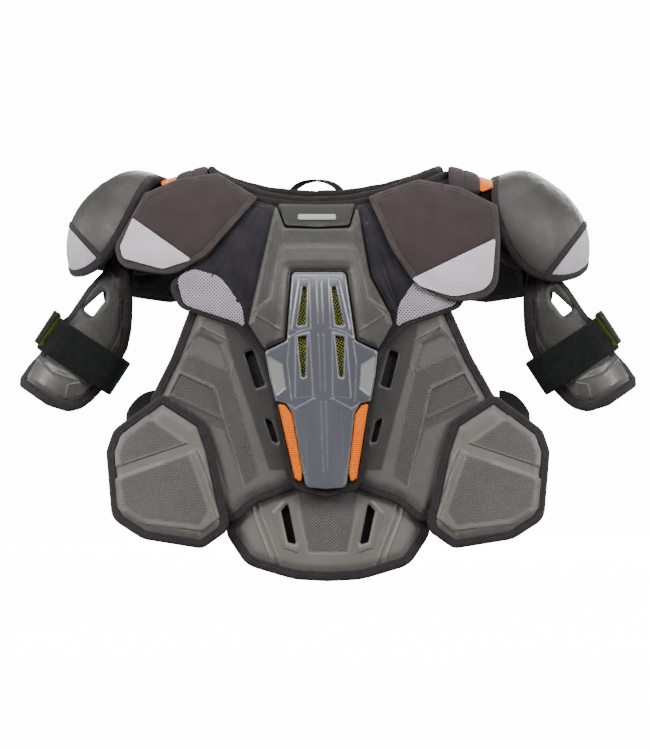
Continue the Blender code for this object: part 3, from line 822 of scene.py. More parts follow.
def surround():
    outline = [
        (0, -35), (39, -34, 5), (49, -4, 2), (83, -136, 5), (86, -149, 4), (68, -179, 2), (43, -168, 2),
        (34, -86, 5), (0, -85),
    ]
    inner = [
        (0, -56), (43, -57, 6), (57, -117, 5), (79, -136, 4), (84, -147, 4), (67, -176, 3), (44, -166, 3),
        (36, -90, 4), (0, -88),
    ]
    notch = [(43, -168), (34, -86), (0, -85), (-34, -86), (-43, -168)]
    features = [
        ("rise", mirrored(inner), 2.8, 1.8),
        *both([("bead", [(0, -55.5), (42, -56.5), (44.5, -62), (57, -117), (80, -135.5)], 0.9, 2.2)]),
        ("slope", notch, -5.6, 13),
        *both(
            [
                ("bead", [(36, -36), (45, -13)], 0.8, 3),
                ("bead", [(79, -137), (58, -150), (42, -160)], 0.7, 3),
            ]
        ),
    ]
    grain = both_areas(
        [[(42, -30), (48, -14), (78, -132), (62, -118), (46, -57), (41, -52)]]
    ) + [[(-43, -52), (-40, -36), (40, -36), (43, -52)]]
    edge = [(0, 5.0), (0.5, 3.4), (1.4, 2.2), (3.0, 1.2), (5.0, 0.5), (7.5, 0)]
    covered = [*outline[:3], (57, -66, 20), (61, -92, 20), *outline[3:]]
    whole = covered + mirrored(outline)[len(outline):]
    piece(
        panel(
            "sternum_surround_face", whole, on_hanging_front, (34.8, 41.2), "foam_core", edge=edge,
            # Painted shadow: the band along the top of the notch is darkened.
            features=features, grain=grain, painted_shade=[[(-40, -92), (-37, -79), (37, -79), (40, -92)]],
            step=1.8,
        ),
        "torso", "moulded_foam", "sternum_surround", fill=1.0,
    )
    badge = mirrored([(0, -5), (46.5, -4, 2), (38, -31, 5), (0, -33)])
    piece(
        panel(
            "badge_panel_face", badge, on_hanging_front, (34.8, 39.6), "badge_dark",
            edge=[(0, 2), (0.6, 1), (2.2, 0.2), (4, 0)],
            features=[("bead", [(-37, -29.5), (37, -29.5)], 0.5, 2)], step=2.0,
        ),
        "torso", "dark_moulded", "badge_panel",
    )
    bar = box_outline(-23, -24, 23, -17, 2.5)
    piece(
        panel(
            "badge_bar_face", bar, on_hanging_front, (39.4, 41.4), "plate_light",
            edge=[(0, 1.2), (0.4, 0.6), (1.2, 0.1), (2.0, 0)], step=1.6,
            features=[("rise", box_outline(-20.5, -22.3, 20.5, -18.7, 1), -0.5, 0.8)],
        ),
        "torso", "light_plastic", "badge_bar",
    )


def plate():
    outline = [
        (0, -87), (32, -87, 6), (41, -169, 4), (67, -182, 3), (63, -212, 5), (57, -241, 2), (44, -244, 3),
        (37, -256, 3), (27, -326, 6), (24, -344, 8), (0, -346),
    ]
    ear = [(65, -186, 2), (47, -197, 2), (44, -226, 2), (56, -236, 2), (62, -208, 2)]
    features = both(
        [
            ("rise", [(11, -93), (24, -93, 3), (36, -158, 2), (11, -153)], 1.0, 1.2),
            ("rise", [(13, -158), (31, -163, 2), (34, -238, 2), (11, -236)], 1.0, 1.2),
            ("bead", [(11, -154), (28, -160), (65, -181)], 0.9, 2.4),
            ("bead", [(10, -238), (34, -251), (44, -244)], 0.8, 2.2),
            ("bead", [(3, -242), (2.6, -324)], 0.7, 1.5), ("bead", [(21, -254), (22, -338)], 0.5, 2.6),
            ("rise", ear, -1.0, 1.2), ("bead", [(38, -172), (41, -198), (38, -240)], 0.6, 1.8),
            ("bead", [(3, -99), (3, -148)], 0.7, 1.5), ("bead", [(3, -162), (3, -228)], 0.7, 1.5),
        ]
    )
    obj = panel(
        "sternum_plate_face", mirrored(outline), on_hanging_front, (36.4, 40.2), "plate_clear",
        edge=[(0, 1.8), (0.4, 1.1), (1.2, 0.5), (2.6, 0)], features=features,
        holes=both_areas(PLATE_VENTS), hole_edge=((0, 1.5), (0.6, 0.9), (1.8, 0)),
        grain=both_areas([ear]), step=1.8,
    )
    piece(obj, "torso", "clear_plastic", "sternum_plate")
    mesh = mirrored([(0, -98), (28, -98, 3), (34, -160, 3), (34, -222, 3), (0, -224)])
    obj = panel("sternum_mesh_face", mesh, on_hanging_front, (34.2, 35.2), "mesh_lime", edge=MESH, step=5)
    piece(obj, "torso", "lime_mesh", "sternum_mesh")
    for side, way in SIDES.items():
        insert = [
            (54, -244, 2), (45, -246, 3), (37, -257, 3), (27, -326, 3), (30, -338, 2), (37, -333, 2)
        ]
        piece(
            panel(
                f"{side}_sternum_insert_face", insert, on_hanging_front, (33.4, 37.6), "orange_weave",
                way, edge=[(0, 1.8), (0.5, 0.8), (1.6, 0.2), (3, 0)], step=2.4,
            ),
            "torso", "orange", f"{side}_sternum_insert", fill=0.9,
        )


def belly():
    outline = mirrored(
        [
            (0, -322), (66, -328, 20), (112, -362, 20), (124, -398, 22), (98, -438, 34), (40, -455, 80),
            (0, -457),
        ]
    )
    features = [
        ("rise", [(-40, -357, 1), (40, -357, 1), (24, -423, 1), (-24, -423, 1)], -0.9, 1.2),
        *both(
            [
                ("bead", [(88, -356), (84, -380), (60, -440)], -1.3, 6),
                ("bead", [(92, -358), (88, -380), (65, -440)], 0.9, 2.0),
                ("bead", [(84, -358), (79, -380), (56, -440)], 0.9, 2.0),
                ("rise", [(52, -359, 2), (67, -375, 2), (53, -417, 2), (35, -424, 2)], 1.5, 1.3),
            ]
        ),
    ]
    piece(
        panel(
            "belly_face", outline, on_front, (4.6, 12.4), "foam_rib", edge=bound_edge(12, 3.4, 7),
            # Painted shade darkens the pad near its binding.
            inset=INSET, edge_shade=14, features=features, holes=both_areas([BELLY_VENT]),
            hole_edge=((0, 2.4), (0.8, 1.5), (3.0, 0.2), (4.0, 0)),
            grain=[[(-40, -330), (40, -330), (24, -423), (-24, -423)]],
        ),
        "belly_guard", "moulded_foam", "belly_pad", fill=1.0,
    )
    taped_edge(
        "belly_binding", outline, on_front, 9.0, 4.8, "tape_wide", "belly_guard", width=12, behind=9
    )
    inner = mirrored(
        [(0, -330), (62, -336, 18), (104, -366, 18), (113, -398, 20), (92, -431, 30), (0, -449)]
    )
    piece(
        panel("belly_liner_face", inner, on_front, (0.6, 3.2), "cloth_black", edge=LINING, step=6),
        "belly_guard", "black_liner", "belly_liner", fill=0.5,
    )


CHEST_PANEL = [
    (146, -96, 10), (158, -135, 60), (180, -188, 60), (208, -240, 12), (187, -300, 20), (118, -396, 20),
    (84, -364, 40), (30, -344, 6), (28, -250, 20), (60, -160, 20), (92, -118, 10),
]
RIB_PAD = [
    (204, -236, 4), (258, -276, 22), (267, -302, 20), (260, -383, 22), (222, -407, 30), (150, -418, 16),
    (122, -398, 10), (118, -386, 4), (136, -300, 20), (148, -265, 10), (196, -234, 4),
]


def chest(side, way):
    field = [
        (142, -150), (166, -192), (186, -238), (182, -248), (122, -276), (112, -300), (98, -345),
        (80, -330), (101, -240), (110, -212), (108, -206), (120, -172),
    ]
    features = [
        ("rise", [(150, -159, 2), (163, -183, 2), (112, -206, 2), (119, -172, 2)], -1.4, 1.3),
        ("rise", [(173, -204, 2), (188, -234, 2), (119, -266, 2), (129, -223, 2)], 1.2, 1.2),
        ("rise", [(170, -208, 2), (184, -233, 2), (122, -261, 2), (131, -227, 2)], -2.0, 1.2),
        ("bead", [(109, -213), (100, -241), (78, -330)], 1.0, 1.7),
        ("bead", [(128, -229), (120, -263), (98, -345)], 1.2, 3.0),
        ("bead", [(143, -152), (112, -168), (106, -196), (109, -213)], 0.8, 1.7),
        ("bead", [(140, -276), (118, -350)], -0.6, 5),
    ]
    edge = bound_edge(11, 4.4, 6)
    piece(
        panel(
            f"{side}_chest_face", CHEST_PANEL, on_hanging_front, (14.8, 23.4), "foam_chest", way,
            # Painted shade near the binding, and a painted shadow where the pad lies beside the bib.
            edge=edge, inset=INSET, edge_shade=16, features=features, holes=CHEST_VENTS,
            painted_shade=[[(118, -150), (112, -180), (90, -250), (68, -325), (40, -325), (60, -150)]],
            grain=[field], plain=[[(147, -161), (160, -182), (114, -203), (122, -174)]],
        ),
        "torso", "moulded_foam", f"{side}_chest_panel", fill=1.0,
    )
    taped_edge(
        f"{side}_chest_binding", CHEST_PANEL, on_hanging_front, 19.2, 15.0, "tape_wide", "torso", way,
        width=11,
    )
    liner = [
        (144, -120, 10), (172, -190, 30), (176, -238, 20), (148, -262, 20), (80, -262, 10), (76, -170, 10)
    ]
    piece(
        panel(
            f"{side}_chest_liner_face", liner, on_hanging_front, (9.8, 12.6), "mesh_black", way,
            edge=LINING, step=6,
        ),
        "torso", "black_liner", f"{side}_chest_liner", fill=0.5,
    )
    for i, vent in enumerate(CHEST_VENTS):
        # A mesh patch behind each vent, 4 mm wider all round.
        patch = Outline(vent, 3).row(-4)
        obj = panel(
            f"{side}_chest_vent_{i + 1}", patch[::2].tolist(), on_hanging_front, (14.0, 14.7),
            "mesh_black", way, edge=[(0, 0.2), (0.5, 0)], step=4,
        )
        piece(obj, "torso", "dark_mesh")


def rib(side, way):
    body = f"{side}_rib_guard"
    upper = [(217, -257, 2), (249, -281, 6), (257, -302, 6), (256, -322, 2), (165, -291.5, 2)]
    lower = [
        (157, -299, 2), (257, -334, 2), (254, -371, 6), (226, -389, 10), (149, -397, 4), (128, -380, 2)
    ]
    features = [
        ("rise", upper, 2.0, 1.6), ("rise", lower, 2.2, 1.6),
        ("bead", [(157, -298), (152, -309), (134, -360), (126, -381)], 0.9, 1.8),
        ("bead", [(164, -303), (142, -362), (135, -380)], -0.6, 2.2),
    ]
    knurled = [
        [(214, -262), (244, -284), (251, -303), (250, -317), (172, -291.5)],
        [(166, -305), (250, -335), (247, -366), (222, -382), (154, -390), (143, -372)],
    ]
    edge = bound_edge(11, 4.4, 7)
    piece(
        panel(
            f"{side}_rib_face", RIB_PAD, on_front, (26.8, 36.2), "foam_rib", way, edge=edge, inset=INSET,
            # Painted shade darkens the pad near its binding.
            edge_shade=14, features=features, grain=knurled,
        ),
        body, "moulded_foam", f"{side}_rib_pad", fill=1.0,
    )
    taped_edge(f"{side}_rib_binding", RIB_PAD, on_front, 31.8, 27.0, "tape_wide", body, way, width=11)
    backing = [
        (222, -258, 4), (250, -284, 16), (252, -378, 18), (216, -398, 24), (148, -402, 8), (206, -310, 20)
    ]
    piece(
        panel(
            f"{side}_rib_liner_face", backing, on_front, (22.1, 24.8), "cloth_black", way, edge=LINING,
            step=6,
        ),
        body, "black_liner", f"{side}_rib_liner", fill=0.5,
    )


FLAP = {
    "right": [
        (221, 9, 4), (182, 26, 60), (133, 34, 10), (84, 3, 3), (146, -68, 40), (188, -92, 44),
        (250, -80, 26), (257, -56, 20),
    ],
    "left": [
        (204, -6, 4), (160, 16, 60), (109, 26, 10), (62, 10, 3), (48, 4, 3), (76, -60, 60),
        (104, -102, 26), (150, -124, 50), (203, -117, 40), (207, -48, 60),
    ],
}
FLAP_CORNER = {
    "right": [(235, -21, 2), (163, -72, 2), (198, -83, 14), (246, -70, 8), (250, -56, 6)],
    "left": [(100, -95, 2), (201, -46, 2), (196, -106, 24), (150, -117, 40), (110, -104, 14)],
}


def flap(side, way):
    body = f"{side}_clavicle_flap"
    outline = Outline(FLAP[side])
    seam = [("bead", FLAP_CORNER[side][:2], -1.1, 3.4)]

    def crown(points, u):
        inside = np.maximum(within(points, outline.loop) - 6, 0)
        soft = 0.35 * np.sin(points[:, 0] / 11 + points[:, 1] / 23) * np.sin(points[:, 1] / 13 + 0.7)
        return 2.6 * (1 - np.exp(-inside / 11)) + soft * smooth(inside / 20)

    edge = [(0, 2.6), (1.4, 2.4), (7, 2.2), (8.5, 1.3), (11, 0.5), (16, 0)]
    piece(
        panel(
            f"{side}_flap_face", outline, on_front, (37.8, 43.0), "cloth_flap", way, edge=edge,
            inset=INSET, features=seam, wave=crown,
        ),
        body, "dark_cloth", f"{side}_flap_pad", fill=0.8,
    )
    taped_edge(
        f"{side}_flap_binding", outline, on_front, 40.8, 37.8, "tape_narrow", body, way, width=8,
        behind=7, thick=1.4,
    )

    # The mesh lies on the flap, so its face follows the flap's crown.
    def laid(points, u):
        return crown(points, u) - np.interp(
            within(points, outline.loop), [e[0] for e in edge], [e[1] for e in edge]
        )

    corner = panel(
        f"{side}_flap_mesh_face", FLAP_CORNER[side], on_front, (43.2, 43.9), "mesh_fine", way, edge=MESH,
        wave=laid, step=3,
    )
    piece(corner, body, "white_mesh", f"{side}_flap_mesh")
    Outline(FLAP_CORNER[side]).loop


def wing(side, way):
    obj = panel(
        f"{side}_wing_mesh_face", WING_CORNER, on_hanging_front, (32.9, 33.8), "mesh_white", way,
        edge=[(0, 0.4), (0.6, 0)], step=3,
    )
    piece(obj, "torso", "white_mesh", f"{side}_wing_mesh")
    Outline(WING_CORNER).loop


# The shoulders.

CAP_CENTRE = np.array([228.0, 0, -56])
CAP_RADIUS = 90
CAP_TILT = {
    side: np.array(
        Matrix.Rotation(math.radians(turn), 3, "Z") @ Matrix.Rotation(math.radians(37), 3, "Y")
    )
    for side, turn in (("left", 6), ("right", 32))
}


def cap_rim(around, side):
    """How far a cap reaches from its crown, in degrees. Its lower front reaches further, most on the left."""
    around = (np.asarray(around) + math.pi) % math.tau - math.pi
    lower = {"left": 8.0, "right": 3.0}[side] * np.exp(-(((around + 0.95) / 0.7) ** 2))
    return 80 - 19 * np.cos(2 * around) + 6 * np.cos(around) + lower


def on_cap(around, share, radius, side):
    """A place on a ball about the cap's centre, at a share of the way from its crown to its rim."""
    down = np.radians(cap_rim(around, side)) * share
    local = places(
        radius * np.sin(down) * np.cos(around), radius * np.sin(down) * np.sin(around),
        radius * np.cos(down),
    )
    return (local @ CAP_TILT[side].T + CAP_CENTRE) * np.array([SIDES[side], 1, 1])


def dome(name, side, look, radius, thick, reach, swellings=None, around_count=120, rings=40, split=None):
    """A cap: an outer and an inner skin, joined round the rim."""
    around = np.arange(around_count) * math.tau / around_count
    shares = np.linspace(0, 1, rings + 1)[1:] * reach
    verts, flat = [], []
    for skin in (0, 1):
        r = radius if skin == 0 else radius - thick
        verts.append(on_cap(np.zeros(1), np.zeros(1), r, side))
        flat.append(np.zeros((1, 2)))
        for share in shares:
            full = np.full(around_count, share)
            lift = swellings(around, full) if swellings and skin == 0 else 0.0
            verts.append(on_cap(around, full, r + lift, side))
            down = np.radians(cap_rim(around, side)) * share * CAP_RADIUS
            flat.append(np.stack([down * np.cos(around), down * np.sin(around)], 1))
    verts, flat = np.vstack(verts), np.vstack(flat)
    per = 1 + rings * around_count
    faces = []
    for skin in (0, 1):
        base = skin * per
        for i in range(around_count):
            n = (i + 1) % around_count
            faces.append((base, base + 1 + i, base + 1 + n))
            for k in range(rings - 1):
                a, b = base + 1 + k * around_count, base + 1 + (k + 1) * around_count
                faces.append((a + i, b + i, b + n, a + n))
    last = 1 + (rings - 1) * around_count
    for i in range(around_count):
        n = (i + 1) % around_count
        faces.append((last + i, last + n, per + last + n, per + last + i))
    zeros = np.zeros(len(verts))
    obj = finish_mesh(
        name, verts, faces, look, flat, [("grain", zeros + 0.3), ("bevel", zeros), ("painted_shade", zeros)],
        sharp=40,
    )
    turned_out(obj)
    if split:
        for face in obj.data.polygons:
            if split(np.array(face.center) / MM):
                face.material_index = 1
    return obj


CAP_BAND = {"right": ((311, -30), (283, -60)), "left": ((314, -26), (266, -88))}


def cap(side, way):
    body = f"{side}_shoulder_cap"
    (x0, z0), (x1, z1) = CAP_BAND[side]
    along = np.array([x1 - x0, z1 - z0], float)
    along /= np.linalg.norm(along)
    across = np.array([-along[1], along[0]])
    if across @ np.array([1, -1]) < 0:
        across = -across

    def beyond(place):
        return (np.array([abs(place[0]) - x0, place[2] - z0]) @ across) > 0 and place[1] < 40

    def swellings(around, share):
        rim = smooth((share - 0.9) / 0.1)
        crest = 5.5 * np.exp(-(((share - 0.55) / 0.3) ** 2)) * (0.5 - 0.5 * np.cos(around)) ** 1.5
        facet = 1.1 * smooth(
            1 - np.abs(np.sin(around * 1.5)) * 4
        ) * smooth((share - 0.15) / 0.3) * (1 - rim)
        return crest + facet - 1.4 * rim

    piece(
        dome(
            f"{side}_cap_face", side, ["foam_cap", "mesh_fine"], CAP_RADIUS, 4, 0.985, swellings,
            split=beyond,
        ),
        body, "moulded_foam", f"{side}_cap_shell", fill=1.0,
    )
    piece(
        dome(f"{side}_cap_liner_face", side, "cloth_black", 83.5, 7, 0.95, None, 72, 20), body,
        "black_liner", f"{side}_cap_liner", fill=0.7,
    )
    # The rim's tape, from the outer skin round the rim to the liner.
    around = np.arange(160) * math.tau / 160
    reach = np.radians(cap_rim(around, side)) * CAP_RADIUS
    width = 10.5
    section = [
        (width, 89.4), (width - 0.4, 90.7), (width - 1.5, 91.3), (6.5, 91.5), (5, 91.0), (3, 91.4),
        (1, 91.1), (-0.6, 90.2), (-1.4, 88.4), (-1.4, 82.5), (-0.4, 79), (1.5, 76.8), (6, 76.4),
        (9, 76.6), (9, 77.6), (3, 78), (0.6, 80.5), (0.2, 88.6),
    ]
    rows = []
    for u, r in section:
        rows.append(on_cap(around, 1 - u / reach, r + 0.15 * np.sin(around * 23), side))
    line = rows[4]
    tape = ring(
        f"{side}_cap_rim_tape", np.stack(rows, 1), "tape_wide",
        (lengths(line), lengths(np.array(section))),
    )
    piece(tape, body, "dark_cloth")
    # The band across the cap's lower outer front: the ball cut by a plane through the band.
    centre = CAP_CENTRE[[0, 2]]
    off = (np.array([x0, z0]) - centre) @ across
    rows = []
    turns = np.radians(np.linspace(-64, 96, 70))
    for u, r in ((-3.4, 90.2), (-3.2, 91.6), (0, 92.1), (3.2, 91.6), (3.4, 90.2), (0, 89.6)):
        reach_in = math.sqrt(max(r * r - (off + u) ** 2, 1))
        flat = centre + across * (off + u)
        spots = flat[None, :] - along[None, :] * (reach_in * np.sin(turns))[:, None]
        rows.append(places(spots[:, 0] * way, -reach_in * np.cos(turns), spots[:, 1]))
    sections = np.stack(rows, 1)
    local = (sections[:, 2] * np.array([way, 1, 1]) - CAP_CENTRE) @ CAP_TILT[side]
    down = np.degrees(np.arccos(np.clip(local[:, 2] / np.linalg.norm(local, axis=1), -1, 1)))
    sections = sections[down < cap_rim(np.arctan2(local[:, 1], local[:, 0]), side) - 2.5]
    piece(
        ring(
            f"{side}_cap_band", sections, "tape_dark",
            (lengths(sections[:, 2], False), np.array([0, 1.5, 5, 8, 9.5, 13, 16])), cyclic=False,
        ),
        body, "dark_cloth",
    )


def shoulder(side, way):
    yoke = box_outline(146, -84, 184, 84, 12)
    edge = [(0, 4.2), (0.6, 2.8), (2, 1.5), (5, 0.5), (9, 0)]
    piece(
        panel(
            f"{side}_yoke_face", yoke, over_shoulder, (-12, -0.6), "cloth_flap", way, edge=edge, step=4,
            features=[("bead", [(165, -80), (165, 80)], -1.2, 5)],
        ),
        "torso", "dark_cloth", f"{side}_yoke_pad", fill=0.85,
    )
    web = [(172, -104, 6), (204, -92, 10), (212, -44, 10), (212, 44, 10), (172, 66, 6)]
    piece(
        panel(
            f"{side}_shoulder_web", web, over_shoulder, (-15, -11), "cloth_black", way, edge=SOFT, step=5
        ),
        "torso", "dark_cloth", fill=0.4,
    )
    hinge = [(183.5, -24, 3), (199, -24, 3), (203, 20, 8), (200, 56, 8), (183.5, 84, 3)]
    piece(
        panel(
            f"{side}_hinge_strap_face", hinge, over_shoulder, (-6.0, -3.6), "orange_weave", way,
            edge=[(0, 0.8), (0.5, 0.3), (1.4, 0)], step=4,
        ),
        "torso", "orange", f"{side}_cap_hinge_strap",
    )


# The neck.


def collar_point(angle, bigger=0.0):
    sideways = np.abs(np.sin(angle)) ** 2.2
    x = (139 + bigger) * np.sin(angle) - 11.2 * np.abs(np.cos(angle)) - 3
    front = np.cos(angle) >= 0
    y = np.where(front, -(105 + bigger) * np.cos(angle), -(85 + bigger) * np.cos(angle))
    z = np.where(front, -2 + 39.5 * sideways, 10 + 27.5 * sideways)
    return places(x, y, z)


def roll(name, bigger, lower, tall, thick):
    """A closed roll of cloth round the neck opening, a little uneven, with three seams."""
    angle = np.arange(220) * math.tau / 220
    line = collar_point(angle, bigger) - np.array([0, 0, lower])
    way = np.roll(line, -1, 0) - np.roll(line, 1, 0)
    way /= np.linalg.norm(way, axis=1)[:, None]
    out = np.cross(way, [0, 0, 1.0])
    out /= np.linalg.norm(out, axis=1)[:, None]
    outward = np.stack([np.sin(angle), -np.cos(angle), 0 * angle], 1)
    out *= np.sign((out * outward).sum(1))[:, None]
    up = np.cross(out, way)
    up *= np.sign(up[:, 2])[:, None]
    uneven = 1 + 0.035 * np.sin(angle * 17) + 0.03 * np.sin(angle * 29 + 1)
    seam = 1.0
    for place, depth in ((math.pi, 0.14), (2.2, 0.1), (4.08, 0.1)):
        seam -= depth * np.exp(-((angle - place) / 0.012) ** 2)
    rows, size = [], 18
    for k in range(size):
        a = math.tau * k / size
        rows.append(
            line + out * (
                thick * math.cos(a) * uneven * seam
            )[:, None] + up * (tall * math.sin(a) * uneven * seam)[:, None]
        )
    sections = np.stack(rows, 1)
    across = np.arange(size + 1) * (math.pi * (tall + thick) / size)
    return ring(name, sections, "cloth_collar", (lengths(line), across))


def neck():
    piece(roll("collar_inner_roll", -1.5, -0.5, 6.2, 5.6), "torso", "dark_cloth", "collar_roll", fill=0.9)
    piece(roll("collar_outer_roll", 8.0, 5.2, 5.6, 4.6), "torso", "dark_cloth", fill=0.85)
    # A cloth yoke carries the collar: a band round the neck opening, under and just outside the collar rolls.
    angle = np.arange(180) * math.tau / 180
    inner = collar_point(angle, 6) - np.array([0, 0, 6.0])
    outer = collar_point(angle, 20) - np.array([0, 0, 13.0])
    front = np.cos(angle) > 0
    outer[:, 1] = np.where(front, np.maximum(outer[:, 1], -121), outer[:, 1])
    outer[:, 2] -= np.where(front, 4.0, 6.0) * np.abs(np.cos(angle))
    middle = (inner + outer) / 2 + np.array([0, 0, 2.0])
    low = np.array([0, 0, 2.4])
    sections = np.stack([inner, middle, outer, outer - low, middle - low, inner - low], 1)
    across = np.array([0, 8, 16, 18, 26, 34, 36])
    piece(
        ring("collar_base", sections, "mesh_purple", (lengths(middle), across), sharp=50), "torso",
        "purple_cloth", fill=0.6,
    )
    # The hang loop.
    turns = np.linspace(-0.06, 1.06, 60) * math.pi
    line = places(33 * np.cos(turns) - 14, 101 + 0 * turns, 6 + 23 * np.sin(turns))
    out = places(np.cos(turns), 0 * turns, np.sin(turns))
    # The webbing twists: its face shows at its feet, and its edge at the top of the arch.
    twist = np.radians(12 + 58 * np.abs(np.cos(turns)) ** 1.5)[:, None]
    wide = np.cos(twist) * np.array([0, 1.0, 0]) + np.sin(twist) * out * np.where(
        turns < math.pi / 2, 1, -1
    )[:, None]
    thin = np.cross(wide, places(-np.sin(turns), 0 * turns, np.cos(turns)))
    rows = [
        line + wide * w + thin * t
        for w, t in (
            (-4.2, 0.8), (0, 1.0), (4.2, 0.8), (4.6, 0), (4.2, -0.8), (0, -0.8), (-4.2, -0.8), (-4.6, 0)
        )
    ]
    sections = np.stack(rows, 1)
    piece(
        ring(
            "hang_loop_web", sections, "webbing_black",
            (lengths(line, False), np.array([0, 5, 10, 11, 12, 17, 22, 23, 24])), cyclic=False,
        ),
        "torso", "webbing", "hang_loop",
    )
    anchor = box_outline(-42, -30, 42, -12, 4)
    piece(
        panel(
            "hang_loop_anchor_face", anchor, on_back, (14.6, 17.3), "webbing_black",
            edge=[(0, 0.8), (0.6, 0.3), (1.4, 0)], step=3,
            features=[("bead", [(-38, -15), (38, -15), (38, -27), (-38, -27), (-38, -15)], -0.5, 1.6)],
        ),
        "torso", "webbing", "hang_loop_anchor",
    )


# The back.


def back():
    outline = mirrored(
        [
            (0, -10), (70, -8, 10), (140, 12, 10), (170, 2, 12), (182, -42, 40), (238, -78, 16),
            (244, -114, 6), (196, -121, 20), (150, -116, 30), (120, -170, 60), (112, -230, 60),
            (150, -262, 20), (150, -322, 20), (100, -352, 30), (0, -360),
        ]
    )
    quilting = both(
        [
            ("bead", [(40, -14), (42, -200), (38, -352)], -1.2, 5),
            ("bead", [(76, -150), (80, -236), (60, -300)], -1.0, 5),
        ]
    )
    edge = bound_edge(8, 2.4, 3)
    piece(
        panel(
            "back_face", outline, on_back, (4.6, 13.4), "mesh_black", edge=edge, inset=INSET,
            features=quilting, step=4,
        ),
        "torso", "black_liner", "back_pad", fill=0.8,
    )
    taped_edge("back_binding", outline, on_back, 11.2, 4.8, "tape_dark", "torso", width=9, behind=8)
    liner = mirrored([(0, -20), (60, -18, 10), (104, -60, 20), (100, -330, 20), (0, -340)])
    piece(
        panel(
            "back_liner_face", liner, on_back, (0.6, 3.0), "mesh_black",
            edge=[(0, 1.4), (0.7, 0.7), (2, 0.2), (4, 0)], step=8,
        ),
        "torso", "dark_mesh", "back_liner", fill=0.5,
    )
    spine = mirrored([(0, -130), (30, -130, 8), (36, -200, 40), (28, -316, 10), (0, -322)])
    ridges = [
        ("bead", [(-26 + 0.02 * k, -150 - 21 * k), (0, -158 - 21 * k), (26, -150 - 21 * k)], -1.3, 5)
        for k in range(8)
    ]
    piece(
        panel(
            "spine_plate_face", spine, flat_back, (15.2, 19.8), "spine_plastic",
            edge=[(0, 2.4), (0.5, 1.4), (1.6, 0.5), (3.5, 0)], features=ridges,
        ),
        "torso", "moulded_plastic", "spine_plate",
    )
    for side, way in SIDES.items():
        blade = [
            (44, -40, 12), (120, -22, 16), (184, -46, 20), (188, -92, 20), (110, -128, 20), (46, -160, 12)
        ]
        lines = [
            (
                "rise",
                [
                    (60, -56, 8), (118, -42, 10), (166, -58, 12), (168, -84, 12), (106, -108, 12),
                    (62, -132, 8),
                ],
                2.0, 4,
            ),
            ("bead", [(66, -74), (118, -62), (160, -72)], -1.4, 5),
            ("bead", [(66, -98), (112, -86), (150, -90)], -1.4, 5),
        ]
        grain = [[(62, -58), (118, -44), (164, -60), (166, -82), (106, -106), (64, -130)]]
        piece(
            panel(
                f"{side}_blade_face", blade, on_back, (14.8, 22.6), "foam_chest", way,
                edge=bound_edge(8, 3, 4), inset=INSET, features=lines, grain=grain,
            ),
            "torso", "moulded_foam", f"{side}_blade_pad", fill=1.0,
        )
        taped_edge(
            f"{side}_blade_binding", blade, on_back, 19.8, 15.0, "tape_narrow", "torso", way, width=8,
            behind=7,
        )
        kidney = [
            (50, -238, 12), (104, -262, 14), (136, -278, 14), (132, -316, 16), (92, -338, 16),
            (46, -334, 12),
        ]
        lines = [
            (
                "rise",
                [
                    (62, -254, 8), (104, -274, 8), (122, -286, 8), (119, -310, 8), (90, -324, 8),
                    (60, -320, 8),
                ],
                1.6, 4,
            )
        ]
        grain = [[(64, -256), (104, -276), (120, -287), (117, -308), (90, -322), (62, -318)]]
        piece(
            panel(
                f"{side}_kidney_face", kidney, on_back, (14.8, 21.2), "foam_chest", way,
                edge=bound_edge(8, 2.6, 4), inset=INSET, features=lines, grain=grain,
            ),
            "torso", "moulded_foam", f"{side}_kidney_pad", fill=1.0,
        )
        taped_edge(
            f"{side}_kidney_binding", kidney, on_back, 18.8, 15.0, "tape_narrow", "torso", way, width=8,
            behind=7,
        )


def waist(side, way):
    turns = np.linspace(-84, 62, 80)
    rows = []
    sag = smooth((62 - turns) / 62)
    for share, depth in (
        (0, 0.4), (0.01, 2.2), (0.5, 2.5), (0.99, 2.2), (1, 0.4), (0.99, 0.1), (0.5, 0), (0.01, 0.1)
    ):
        low, high = -271 - 14 * sag, -228 - 30 * sag
        rows.append(round_side(turns, low + (high - low) * share, depth, way))
    sections = np.stack(rows, 1)
    line = sections[:, 2]
    piece(
        ring(
            f"{side}_waist_band", sections, "elastic_black",
            (lengths(line, False), np.array([0, 2, 22, 43, 45, 47, 67, 88, 90])), cyclic=False,
        ),
        "torso", "elastic", f"{side}_waist_strap",
    )


# The arms.

GUARD = [
    (-56, -113, 6), (-12, -113, 12), (12, -90, 20), (22, -71, 20), (31, -55, 20), (39, -36, 16),
    (42, -10, 30), (41, 24, 20), (37, 42, 20), (31, 56, 16), (19, 68, 16), (-5, 75, 20), (-50, 74, 6),
    (-57, 66, 6), (-57, 48, 10), (-51, 26, 10), (-50, -22, 8), (-45, -30, 10), (-44, -76, 20),
    (-48, -102, 20),
]
GUARD_WINDOW = [(-24, -80, 3), (-19, -77, 3), (-15, -69, 4), (-17, -45, 3), (-34, -46, 3)]


def belt(name, way, low, high, depths, look, turns):
    """A flat strap laid round an arm, between two places along it."""
    inner, outer = depths
    middle = (low + high) / 2
    section = [
        (low, (inner + outer) / 2), (low + 0.6, outer - 0.3), (low + 3, outer), (middle, outer + 0.1),
        (high - 3, outer), (high - 0.6, outer - 0.3), (high, (inner + outer) / 2), (high - 0.6, inner),
        (middle, inner), (low + 0.6, inner),
    ]
    sections = np.stack([round_strap(turns, w, depth, way) for w, depth in section], 1)
    closed = abs(turns[-1] - turns[0]) > 350
    across = lengths(np.array(section))
    return ring(name, sections, look, (lengths(sections[:, 3], closed), across), cyclic=closed)


